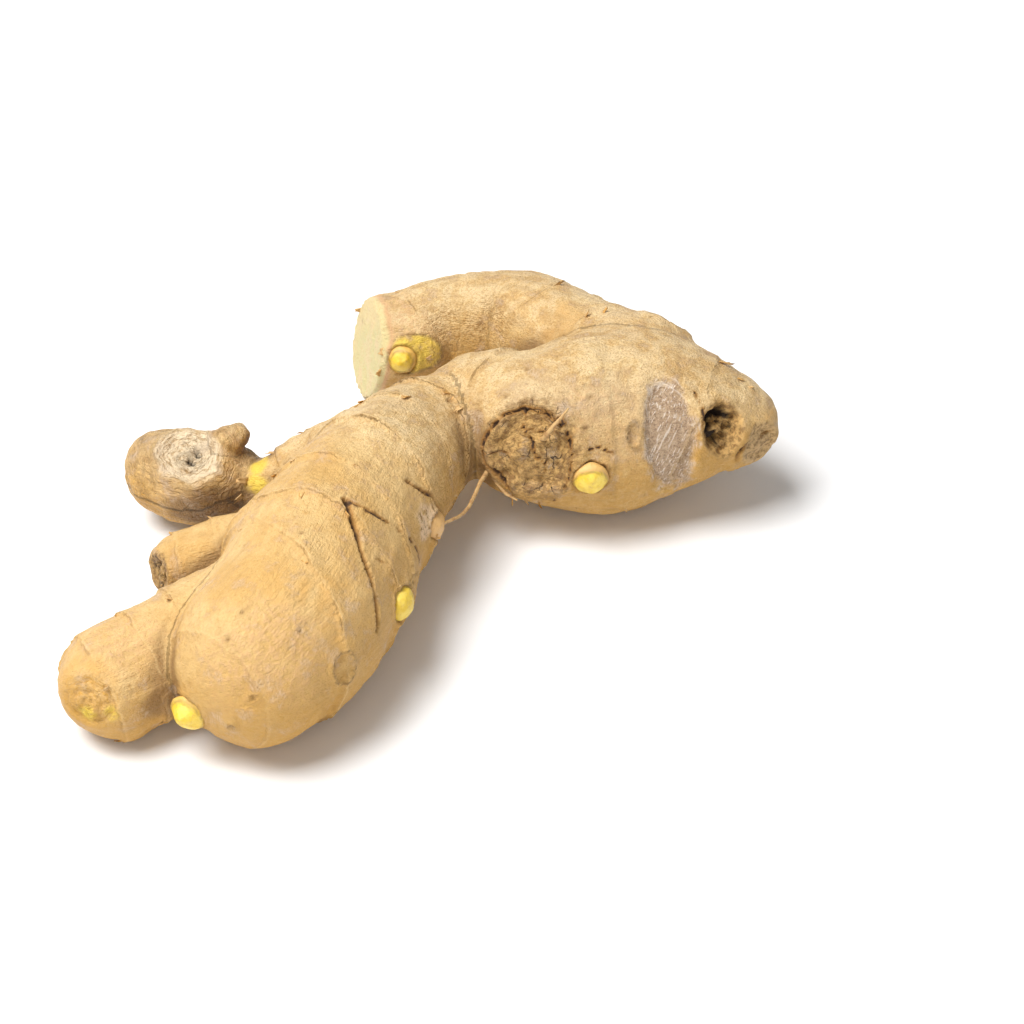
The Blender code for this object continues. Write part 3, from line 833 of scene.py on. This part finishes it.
TAN = (0.77, 0.47, 0.155)
CREAM = (0.93, 0.68, 0.33)
AMBER = (0.60, 0.325, 0.09)
GOLDEN = (0.64, 0.34, 0.06)
DUSK = (0.52, 0.34, 0.165)
BROWN = (0.25, 0.13, 0.045)
EARTH = (0.37, 0.19, 0.055)
GREYISH = (0.64, 0.465, 0.29)
PINK = (0.80, 0.49, 0.24)
PALE_CORK = (0.70, 0.46, 0.205)
PALE = (0.96, 0.75, 0.46)
WORN_SHADE_TAN = (0.66, 0.385, 0.12)
UMBER = (0.45, 0.235, 0.07)
SCAB = (0.93, 0.68, 0.43)
RUST = (0.45, 0.215, 0.05)
DARK = (0.035, 0.020, 0.011)
CRACK_BROWN = (0.085, 0.042, 0.018)
CORK = (0.72, 0.44, 0.155)
CORK_BROWN = (0.31, 0.165, 0.052)
FIBRE = (0.90, 0.72, 0.48)
BRUISE = (0.52, 0.35, 0.215)
BRUISE_DARK = (0.29, 0.18, 0.105)
BRUISE_PALE = (0.76, 0.57, 0.375)
ORANGE = (0.74, 0.40, 0.10)
YELLOW = (0.97, 0.70, 0.085)
SILK_SHEEN = (0.86, 0.73, 0.60)
FLESH = (0.90, 0.71, 0.36)
FLESH_GREEN = (0.80, 0.69, 0.34)
FLESH_TAN = (0.90, 0.68, 0.42)
SKIN_GRAIN_DEPTH = 0.52

skin, tree, shader = new_material("ginger_skin_look", 0.52, 0.4)
place = object_place(tree)
limb_place = attribute(tree, "limb_place", "Vector")
streaks = speckle(stretched(limb_place, (0.62, 0.62, 4.5)), 1.0, 4.0, 0.6)
hairs = speckle(stretched(limb_place, (0.20, 0.20, 1.1)), 1.0, 3.0, 0.6)
clouds = speckle(place, 55.0, 4.0, 0.6)
blots = speckle(place, 230.0, 4.0, 0.6)
grit = speckle(place, 2600.0, 2.0, 0.6)
thread_place = stretched(place, (0.00035, 0.00035, 0.004), (-0.4, 0.45, 0.0))
threads = speckle(thread_place, 1.0, 2.0, 0.6)
fur = speckle(stretched(limb_place, (0.16, 0.16, 0.5)), 1.0, 2.0, 0.6)
swirls = speckle(attribute(tree, "scar_place", "Vector"), 1.0, 3.0, 0.65)

plates = tree.nodes.new("ShaderNodeTexVoronoi")
plates.feature = "DISTANCE_TO_EDGE"
plates.inputs["Scale"].default_value = 300.0
warp = tree.nodes.new("ShaderNodeTexNoise")
warp.inputs["Scale"].default_value = 400.0
warp.inputs["Detail"].default_value = 3.0
tree.links.new(place, warp.inputs["Vector"])
warped = tree.nodes.new("ShaderNodeMix")
warped.data_type = "VECTOR"
warped.inputs["Factor"].default_value = 0.002
tree.links.new(place, warped.inputs["A"])
tree.links.new(warp.outputs["Color"], warped.inputs["B"])
tree.links.new(warped.outputs["Result"], plates.inputs["Vector"])
gaps = patch(tree, "cork", 0.9, between(plates.outputs["Distance"], 0.035, 0.005))
gaps = product(gaps, between(blots, 0.53, 0.62))

colour = tinted(between(clouds, 0.36, 0.64), TAN, CREAM)
colour = tinted(between(streaks, 0.52, 0.75, 0.0, 0.35), colour, DUSK)
colour, leather, _ = grainy(place, 900.0, colour, AMBER, 0.50, 0.80)
colour = tinted(between(hairs, 0.50, 0.30, 0.0, 0.40), colour, CREAM)
sharp = sum_of(1.0, patch(tree, "worn", 0.7), "SUBTRACT")
dark_grit = product(between(grit, 0.50, 0.68, 0.0, 0.45), sharp)
dark_fur = product(between(fur, 0.50, 0.68, 0.0, 0.7), sharp)
pale_grit = product(between(grit, 0.48, 0.30, 0.0, 0.6), sharp)
# Painted light: paler colour on the upward-facing skin.
colour = tinted(patch(tree, "pale_top", 0.58, between(blots, 0.66, 0.40)), colour, PALE)
# Painted shade, together with the wear: the end of the main finger is darkened to tone down the light
# on it.
colour = tinted(patch(tree, "worn", 0.46), colour, WORN_SHADE_TAN)
colour = tinted(between(blots, 0.48, 0.64, 0.0, 0.50), colour, AMBER)
colour = tinted(dark_fur, colour, AMBER)
colour = tinted(dark_grit, colour, UMBER)
ribbed = patch(tree, "ribbed", 0.9, between(hairs, 0.45, 0.58))
colour = tinted(ribbed, colour, EARTH)
colour = tinted(pale_grit, colour, CREAM)

# Tints of the skin: the mask, its share, the pattern that breaks it up, where in the pattern
# the tint begins and is full, how much shows outside the pattern, and the colour
TINTS = (
    ("pink", 0.55, leather, 0.42, 0.60, 0.0, PINK),
    ("warm", 0.6, blots, 0.62, 0.40, 0.0, ORANGE),
    ("grey", 0.6, blots, 0.3, 0.7, 0.0, GREYISH),
    # Painted shade: this row darkens the skin that faces down or sideways.
    ("low_side", 0.85, leather, 0.25, 0.6, 0.5, GOLDEN),
    # Painted shade: this row darkens the wrinkles' troughs.
    ("trough", 0.4, blots, 0.0, 1.0, 1.0, EARTH),
    ("withered", 0.36, streaks, 0.46, 0.64, 0.0, EARTH),
)
for name, share, pattern, low, high, least, tint in TINTS:
    shown = patch(tree, name, share, between(pattern, low, high, least))
    colour = tinted(shown, colour, tint)
scabby = tinted(between(leather, 0.46, 0.66), SCAB, CORK_BROWN)
colour = tinted(patch(tree, "scab", 0.85, between(blots, 0.30, 0.50)), colour, scabby)
# Painted shade in the creases between limbs.
colour = tinted(patch(tree, "crease", 0.75), colour, BROWN)

yellow_skin = tinted(between(blots, 0.46, 0.70, 0.0, 0.6), YELLOW, GOLDEN)
colour = tinted(patch(tree, "yellow", 0.8), colour, yellow_skin)
cork_skin = tinted(between(leather, 0.40, 0.70), CORK, CORK_BROWN)
cork_skin = tinted(between(swirls, 0.50, 0.64, 0.0, 0.8), cork_skin, CORK_BROWN)
colour = tinted(attribute(tree, "cork"), colour, cork_skin)
colour = tinted(attribute(tree, "fibre"), colour, tinted(between(swirls, 0.46, 0.66), FIBRE, DUSK))
bruise = attribute(tree, "bruise")
# Pale silky fibres on the oval scar, partly a painted sheen: swirls, threads and the scar's edge are
# lightened towards the silk colour.
silk_sheen_edge = between(bruise, 0.50, 0.10, -0.2, 0.10)
silk_sheen = between(sum_of(swirls, silk_sheen_edge), 0.52, 0.66, 0.0, 0.75)
bruise_skin = tinted(between(grit, 0.46, 0.70), BRUISE, BRUISE_DARK)
bruise_skin = tinted(between(leather, 0.52, 0.38, 0.0, 0.5), bruise_skin, BRUISE_PALE)
bruise_skin = tinted(between(threads, 0.56, 0.64, 0.0, 0.8), bruise_skin, SILK_SHEEN)
bruise_skin = tinted(silk_sheen, bruise_skin, SILK_SHEEN)
bruise_edge = sum_of(bruise, between(blots, 0.3, 0.7, -0.16, 0.10))
colour = tinted(between(bruise_edge, 0.0, 0.26), colour, bruise_skin)
hollow_skin = tinted(between(leather, 0.40, 0.62), CORK, CORK_BROWN)
colour = tinted(attribute(tree, "hollow"), colour, hollow_skin)
pale_skin = tinted(between(leather, 0.42, 0.66), PALE_CORK, CORK_BROWN)
colour = tinted(attribute(tree, "pale_cork"), colour, pale_skin)
colour = tinted(patch(tree, "coils", 0.8, between(swirls, 0.46, 0.62)), colour, GOLDEN)

ring_fray = sum_of(between(leather, 0.3, 0.7, -0.2, 0.2), attribute(tree, "ring_offset"))
ring_near = attribute(tree, "ring_near")
ring_away = sum_of(ring_fray, 0.0, "ABSOLUTE")
ring_broken = product(ring_near, between(blots, 0.38, 0.58))
# The dark line at each ring is partly its real brown line and partly a painted shadow under the ring's
# lip.
ring = product(between(ring_away, 0.26, 0.03), ring_broken)
ring = product(ring, sum_of(1.0, patch(tree, "worn", 0.6), "SUBTRACT"))
ring_stain = product(between(ring_away, 1.8, 0.2, 0.0, 0.35), ring_near)
# Painted highlight: a pale line on the ring's lip just before its crest.
ring_ridge_highlight = product(between(ring_fray, -0.9, -0.35), between(ring_fray, -0.1, -0.35))
ring_ridge_highlight = product(ring_ridge_highlight, ring_near)
colour = tinted(ring_stain, colour, AMBER)
colour = tinted(product(ring_ridge_highlight, 0.4), colour, CREAM)
colour = tinted(product(ring, 0.85), colour, EARTH)
colour = tinted(patch(tree, "rim", 0.8, between(leather, 0.35, 0.55)), colour, BROWN)
colour = tinted(patch(tree, "pinhole", 0.75), colour, BROWN)
colour = tinted(patch(tree, "groove", 0.75), colour, BROWN)
colour = tinted(attribute(tree, "pit"), colour, DARK)
colour = tinted(gaps, colour, DARK)
crack = attribute(tree, "crack")
colour = tinted(between(crack, 0.0, 0.4, 0.0, 0.85), colour, RUST)
colour = tinted(between(crack, 0.35, 0.8), colour, CRACK_BROWN)
flesh = attribute(tree, "flesh")
flesh_skin = tinted(between(clouds, 0.42, 0.62), FLESH, FLESH_GREEN)
flesh_skin = tinted(between(blots, 0.48, 0.66, 0.0, 0.6), flesh_skin, FLESH_TAN)
flesh_skin = tinted(between(grit, 0.50, 0.72, 0.0, 0.5), flesh_skin, TAN)
colour = tinted(between(flesh, 0.0, 0.5), colour, PINK)
colour = tinted(between(flesh, 0.45, 0.9), colour, flesh_skin)
tree.links.new(colour, shader.inputs["Base Color"])

height = sum_of(product(streaks, 0.6), product(hairs, 0.45))
height = sum_of(height, product(leather, 1.3))
height = sum_of(height, product(product(grit, 0.45), sharp))
height = sum_of(height, product(product(fur, 0.60), sharp))
marked = sum_of(patch(tree, "withered", 1.6), attribute(tree, "cork"))
height = sum_of(height, product(product(swirls, -1.5), marked))
height = sum_of(height, product(gaps, -2.0))
height = sum_of(height, product(ring, -1.0))
bump = tree.nodes.new("ShaderNodeBump")
bump.inputs["Strength"].default_value = 1.0
bump.inputs["Distance"].default_value = SKIN_GRAIN_DEPTH * MM
tree.links.new(height, bump.inputs["Height"])
tree.links.new(bump.outputs["Normal"], shader.inputs["Normal"])
body.data.materials.clear()
body.data.materials.append(skin)

# The buds: short pale yellow shoots, each wrapped in a scale that stops short of its tip.
# Each sits in a collar of the skin where the shoot broke through.
BUD_ROOT = 1.9
BUD_CLEAR = 0.4
SCALE_EDGE = 0.30
BUD_SIDES = 40
BUD_ROUNDS = 28

# How pointed each bud is, how high its scale reaches at the upper and the lower side, and
# how brown the scale has dried
BUD_LOOKS = {
    "crease_bud": (0.50, 0.30, -0.20, 0.50),
    "knuckle_bud": (0.04, 0.72, -0.25, 0.80),
    "cut_end_bud": (0.25, 0.60, 0.30, 0.60),
    "side_bud": (0.05, 0.10, -0.10, 0.30),
    "edge_bud": (0.05, 1.20, 1.20, 0.95),
    "far_bud": (0.25, 0.60, 0.00, 0.50),
    "toe_bud": (0.20, 0.50, 0.10, 0.60),
}


def make_bud(name, bud_place, way, radius, standing):
    """A blunt egg shape along the way that the bud points, with the edge of its scale round it."""
    taper, high, low, dried = BUD_LOOKS[name]
    shape = bmesh.new()
    bmesh.ops.create_uvsphere(shape, u_segments=BUD_SIDES, v_segments=BUD_ROUNDS, radius=1.0)
    standing += BUD_CLEAR
    half = (standing + BUD_ROOT) / 2
    turn = Vector(way).to_track_quat("Z", "Y").to_matrix()
    middle = Vector(bud_place) + Vector(way).normalized() * (standing - half)
    shift = random.Random(name).uniform(0, math.tau)
    looks = []
    for vertex in shape.verts:
        x, y, z = vertex.co
        upward = (turn @ Vector((x, y, 0))).z
        edge = (high + low) / 2 + upward * (high - low) / 2
        edge += 0.08 * noise.noise(Vector((3 * x, 3 * y, shift)))
        wrapped = float(smooth_step(edge - z, -0.05, 0.05))
        lumps = 0.07 * noise.noise(vertex.co * 2.2 + Vector((shift, 0, 0)))
        wide = radius * (1.09 - taper * max(z, 0) + lumps) + SCALE_EDGE * (wrapped - 0.5)
        looks.append((1 - wrapped, math.exp(-(((edge - z) / 0.07) ** 2)), dried * wrapped))
        vertex.co = (x * wide, y * wide, z * half * (1 + lumps))
    bmesh.ops.transform(shape, matrix=Matrix.Translation(middle) @ turn.to_4x4(), verts=shape.verts)
    bmesh.ops.translate(shape, verts=shape.verts, vec=DRAWN_AT)
    bmesh.ops.scale(shape, verts=shape.verts, vec=(MM, MM, MM))
    bud = new_piece(shape, name)
    for mask, values in zip(("tip", "edge", "dried"), np.array(looks).T):
        bud.data.attributes.new(mask, "FLOAT", "POINT").data.foreach_set("value", values)
    bud.data.materials.append(bud_look)


BUD_YELLOW = (0.84, 0.56, 0.04)
BUD_PALE = (0.95, 0.70, 0.12)
BUD_GREEN = (0.62, 0.46, 0.05)
BUD_PEACH = (0.78, 0.46, 0.18)
bud_look, tree, shader = new_material("bud_skin_look", 0.40, 0.5)
place = object_place(tree)
clouds = speckle(place, 420.0, 3.0, 0.6)
shoot = tinted(between(clouds, 0.35, 0.65), BUD_YELLOW, BUD_PALE)
wrapping = tinted(between(clouds, 0.40, 0.62), BUD_YELLOW, BUD_GREEN)
wrapping = tinted(attribute(tree, "dried"), wrapping, BUD_PEACH)
colour = tinted(attribute(tree, "tip"), wrapping, shoot)
colour, _, normal = grainy(place, 1500.0, colour, AMBER, 0.50, 0.85, 0.2 * MM)
colour = tinted(patch(tree, "edge", 0.6), colour, BROWN)
tree.links.new(colour, shader.inputs["Base Color"])
tree.links.new(normal, shader.inputs["Normal"])
for name, sizes in BUDS.items():
    make_bud(name, *sizes)

# What is left of the leaf scales: thin dry brown rags of skin that still hang on the rings,
# on the rim of the cut and on a few rough spots. Each is rooted in the skin by one edge.
RAG_COLUMNS = 4
RAG_ROWS = 3
RAG_THICKNESS = 0.14
RAG_SINK = 0.25
RAG_CRUMPLE = 0.1
RAG_TEAR = 0.35
RAG_TAPER = 0.45
RAG_CURLS = (0.1, 0.5)
RAG_LENGTHS = (0.6, 1.7)
RAG_WIDTHS = (0.6, 2.2)
RAG_LIFTS = (0.1, 0.7)
RAG_ABOVE_TABLE = 1.5
RAG_OFF_SKIN = 2.5
RAG_SEED = 11
RAGS_ON_A_RING = 5
RAGS_ROUND_THE_CUT = 7
CUT_RAG_LENGTHS = (0.5, 1.5)
CUT_RAG_WIDTHS = (1.2, 4.2)
CUT_RAG_LIFTS = (0.1, 0.9)
CUT_RAG_BEHIND = 0.4
CUT_RAGS_ABOVE = 9.0
RIM_SEARCH_ROUNDS = 24
RIM_SEARCH_SHARE = 0.8
SINGLE_RAG_LIFTS = (0.3, 0.8)

# Rags that are placed one by one: the point, the way each hangs, its length and its width
SINGLE_RAGS = (
    ((57.6, 20.4, 32.2), (0.8, -0.4, -0.5), 2.6, 1.9),
    ((61.2, 17.1, 30.7), (0.7, -0.6, -0.4), 1.4, 1.1),
    ((63.0, 15.4, 29.0), (0.6, -0.7, -0.4), 1.2, 0.8),
    ((30.2, 36.4, 31.2), (1.0, -0.2, 0.0), 1.8, 1.0),
    ((34.0, 37.0, 31.6), (1.0, 0.3, 0.0), 1.5, 0.9),
    ((2.7, 11.2, 29.5), (0.8, -0.6, -0.2), 1.6, 1.1),
    ((-15.0, 6.9, 32.1), (-0.8, -0.5, -0.2), 2.2, 1.5),
    ((12.4, 3.4, 15.6), (-0.2, -0.4, -0.9), 1.8, 0.6),
    ((15.0, 1.8, 12.2), (0.1, -0.4, -0.9), 2.0, 0.5),
    ((17.6, 1.2, 10.6), (0.3, -0.4, -0.9), 1.3, 0.7),
    ((20.4, 0.9, 9.8), (0.1, -0.3, -0.9), 0.8, 0.6),
    ((28.0, 1.4, 9.0), (0.2, -0.3, -0.9), 0.7, 0.5),
    ((38.0, 3.0, 8.6), (0.3, -0.3, -0.9), 1.2, 0.6),
    ((-38.6, 0.4, 16.5), (-0.7, -0.5, 0.5), 2.6, 1.7),
    ((-39.6, -0.6, 13.0), (-0.8, -0.5, -0.1), 2.2, 1.3),
    ((14.5, 5.4, 31.0), (0.4, -0.5, -0.7), 1.7, 1.4),
    ((20.0, 4.8, 32.2), (0.1, -0.6, -0.7), 1.9, 1.5),
    ((23.7, 51.6, 28.7), (1.0, 0.1, 0.5), 2.4, 1.8),
)

body_surface = BVHTree.FromPolygons(
    [vertex.co for vertex in body.data.vertices], [face.vertices for face in body.data.polygons]
)
rag_chance = random.Random(RAG_SEED)
rags = bmesh.new()


def seat(point):
    """The nearest point of the finished skin and the way that it faces, in metres."""
    place, normal, _, _ = body_surface.find_nearest((Vector(point) + Vector(DRAWN_AT)) * MM)
    return place, normal


def add_rag(point, way, length, width, lift):
    """A curled rag, rooted at the point and hanging out along the way."""
    place, normal = seat(point)
    ahead = (Vector(way) - Vector(way).dot(normal) * normal).normalized()
    side = normal.cross(ahead)
    made = bmesh.ops.create_grid(rags, x_segments=RAG_COLUMNS, y_segments=RAG_ROWS, size=0.5)["verts"]
    curl = rag_chance.uniform(*RAG_CURLS)
    for vertex in made:
        across = 2 * vertex.co.x
        out = vertex.co.y + 0.5
        tear = 1 + RAG_TEAR * rag_chance.uniform(-1, 1) * (out > 0.9)
        run = length * out * tear
        rise = math.sin(lift) * run + curl * across**2 * out - RAG_SINK
        rise += RAG_CRUMPLE * rag_chance.uniform(-1, 1)
        wide = width * across / 2 * (1 - RAG_TAPER * out)
        vertex.co = place + (side * wide + ahead * run * math.cos(lift) + normal * rise) * MM


for limb, along, top_lean, left_lean, height in ALL_RINGS:
    middle, run, radius = ring_place(LINES[limb], along)
    left = unit(np.cross(run, (0, 0, -1)))
    top = np.cross(left, run)
    for _ in range(round(RAGS_ON_A_RING * height)):
        turn = rag_chance.uniform(0, math.tau)
        length = rag_chance.uniform(*RAG_LENGTHS)
        width = rag_chance.uniform(*RAG_WIDTHS)
        lift = rag_chance.uniform(*RAG_LIFTS)
        out = math.cos(turn) * top + math.sin(turn) * left
        out = out + (top_lean * math.cos(turn) + left_lean * math.sin(turn)) * run
        start = (middle + radius * out)[None, :]
        if abs(body_distance(start)[0]) < RAG_OFF_SKIN and start[0, 2] > RAG_ABOVE_TABLE:
            add_rag(start[0], run, length, width, lift)
for _ in range(RAGS_ROUND_THE_CUT):
    turn = rag_chance.uniform(0, math.tau)
    across = unit(np.cross(CUT_FACES, (0, 0, 1)))
    out = math.cos(turn) * across + math.sin(turn) * np.cross(across, CUT_FACES)
    length = rag_chance.uniform(*CUT_RAG_LENGTHS)
    width = rag_chance.uniform(*CUT_RAG_WIDTHS)
    rim = CUT_AT - CUT_RAG_BEHIND * CUT_FACES
    reach = 0.0
    for _ in range(RIM_SEARCH_ROUNDS):
        reach -= RIM_SEARCH_SHARE * body_distance((rim + reach * out)[None, :])[0]
    if (rim + reach * out)[2] > CUT_RAGS_ABOVE:
        add_rag(rim + reach * out, CUT_FACES, length, width, rag_chance.uniform(*CUT_RAG_LIFTS))
for point, way, length, width in SINGLE_RAGS:
    add_rag(point, way, length, width, rag_chance.uniform(*SINGLE_RAG_LIFTS))
flat_rags = rags.verts[:] + rags.edges[:] + rags.faces[:]
bmesh.ops.solidify(rags, geom=flat_rags, thickness=RAG_THICKNESS * MM)
bmesh.ops.recalc_face_normals(rags, faces=rags.faces)
scale_rags = new_piece(rags, "scale_rags")

RAG_TAN = (0.66, 0.43, 0.19)
rag_look, tree, shader = new_material("dry_rag_look", 0.6, 0.35)
place = object_place(tree)
colour = tinted(between(speckle(place, 300.0), 0.4, 0.6), RAG_TAN, AMBER)
colour, _, normal = grainy(place, 1300.0, colour, BROWN, 0.5, 0.75, 0.2 * MM)
tree.links.new(colour, shader.inputs["Base Color"])
tree.links.new(normal, shader.inputs["Normal"])
scale_rags.data.materials.append(rag_look)

# Rootlets: thin, dry, straw-coloured roots. Two grow from the crease beside the knuckle, one
# of them across to the main finger's flank, and a broken one stands on the round scar. Each
# has its radius and its stations: x, y, z and the share of the radius there.
ROOTLETS = {
    "crease_rootlet": (0.42, (
        (10.6, 4.6, 17.0, 1.3), (8.6, -1.4, 17.6, 1.0), (6.4, -8.6, 17.4, 0.9),
        (4.2, -13.0, 18.4, 0.8), (2.6, -15.6, 19.7, 0.8), (0.9, -17.6, 20.4, 0.5),
    )),
    "short_rootlet": (0.40, (
        (10.9, 4.4, 16.6, 1.4), (12.0, 2.0, 14.8, 1.0), (13.8, 0.5, 13.3, 0.9),
        (16.0, 0.0, 12.0, 0.5),
    )),
    "scar_rootlet": (0.42, (
        (20.6, 1.4, 26.4, 0.9), (21.4, -0.4, 28.3, 1.3), (23.4, 0.2, 31.0, 1.1),
        (26.2, 1.6, 34.4, 0.4),
    )),
}
ROOTLET_SIDES = 5
ROOTLET_KINKS = 0.22
ROOTLET_SEED = 3
ROOTLET_TAN = (0.62, 0.40, 0.17)
ROOTLET_BROWN = (0.38, 0.20, 0.08)

rootlet_look, tree, shader = new_material("dry_rootlet_look", 0.6, 0.3)
place = object_place(tree)
colour, _, normal = grainy(place, 700.0, ROOTLET_TAN, ROOTLET_BROWN, 0.4, 0.65, 0.1 * MM)
tree.links.new(colour, shader.inputs["Base Color"])
tree.links.new(normal, shader.inputs["Normal"])
noise.seed_set(ROOTLET_SEED)
for name, (radius, stations) in ROOTLETS.items():
    line = smooth_line(stations, radius)
    strand = bpy.data.curves.new(name, "CURVE")
    strand.dimensions = "3D"
    strand.bevel_depth = MM
    strand.bevel_resolution = ROOTLET_SIDES
    strand.use_fill_caps = True
    spline = strand.splines.new("POLY")
    spline.points.add(len(line) - 1)
    for point, station in zip(spline.points, line):
        kink = ROOTLET_KINKS * np.array(noise.noise_vector(Vector(station[:3] / 2.0)))
        point.co = (*((station[:3] + kink + DRAWN_AT) * MM), 1)
        point.radius = station[3]
    drawn = bpy.data.objects.new(name + "_line", strand)
    bpy.context.collection.objects.link(drawn)
    graph = bpy.context.evaluated_depsgraph_get()
    mesh = bpy.data.meshes.new_from_object(drawn.evaluated_get(graph))
    bpy.data.objects.remove(drawn, do_unlink=True)
    mesh.shade_smooth()
    rootlet = bpy.data.objects.new(name, mesh)
    bpy.context.collection.objects.link(rootlet)
    rootlet.data.materials.clear()
    rootlet.data.materials.append(rootlet_look)
    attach(rootlet, "root")

# The table: a plain pale matt surface that the rhizome lies on by its own weight. It is one
# flat square that runs well past the view on every side.
FLOOR_HALF = 3.0
table_top = bmesh.new()
bmesh.ops.create_grid(table_top, x_segments=1, y_segments=1, size=FLOOR_HALF)
table_mesh = bpy.data.meshes.new("table_top")
table_top.to_mesh(table_mesh)
table_top.free()
table = bpy.data.objects.new("table_top", table_mesh)
bpy.context.collection.objects.link(table)
paper, _, paper_shader = new_material("pale_paper", 0.7, 0.2)
paper_shader.inputs["Base Color"].default_value = (0.93, 0.93, 0.93, 1)
table_mesh.materials.append(paper)
table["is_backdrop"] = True

# Studio light: a large soft light above and to the left, a weaker one in front, and pale
# walls all round that lighten the shadows.
WALL_LIGHT = 0.29
AIM = Vector((0.0157, -0.0073, 0.015))
LIGHTS = {
    "overhead_softbox": ((-0.36, -0.12, 0.85), 0.55, 12.4),
    "front_fill": ((0.05, -0.98, 0.50), 0.9, 2.0),
}
for name, (spot, size, power) in LIGHTS.items():
    lamp = bpy.data.lights.new(name, "AREA")
    lamp.size = size
    lamp.energy = power
    holder = bpy.data.objects.new(name, lamp)
    holder.location = spot
    holder.rotation_euler = (AIM - Vector(spot)).to_track_quat("-Z", "Y").to_euler()
    bpy.context.collection.objects.link(holder)
walls = bpy.data.worlds.new("pale_walls")
walls.use_nodes = True
wall_paint = walls.node_tree.nodes["Background"]
wall_paint.inputs["Color"].default_value = (1.0, 1.0, 1.0, 1)
wall_paint.inputs["Strength"].default_value = WALL_LIGHT
bpy.context.scene.world = walls
bpy.context.scene.view_settings.view_transform = "Standard"

# The camera looks down on the table from in front, as the photograph does. It stands a little
# over half a metre off, with a long lens.
CAMERA_ELEVATION = math.radians(40.0)
CAMERA_DISTANCE = 0.570
lens = bpy.data.cameras.new("camera")
lens.lens = 100.0
lens.sensor_width = 36.0
camera = bpy.data.objects.new("camera", lens)
looking = Vector((0.0, math.cos(CAMERA_ELEVATION), -math.sin(CAMERA_ELEVATION)))
camera.location = AIM - CAMERA_DISTANCE * looking
camera.rotation_euler = looking.to_track_quat("-Z", "Y").to_euler()
bpy.context.collection.objects.link(camera)
bpy.context.scene.camera = camera

low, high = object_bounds()
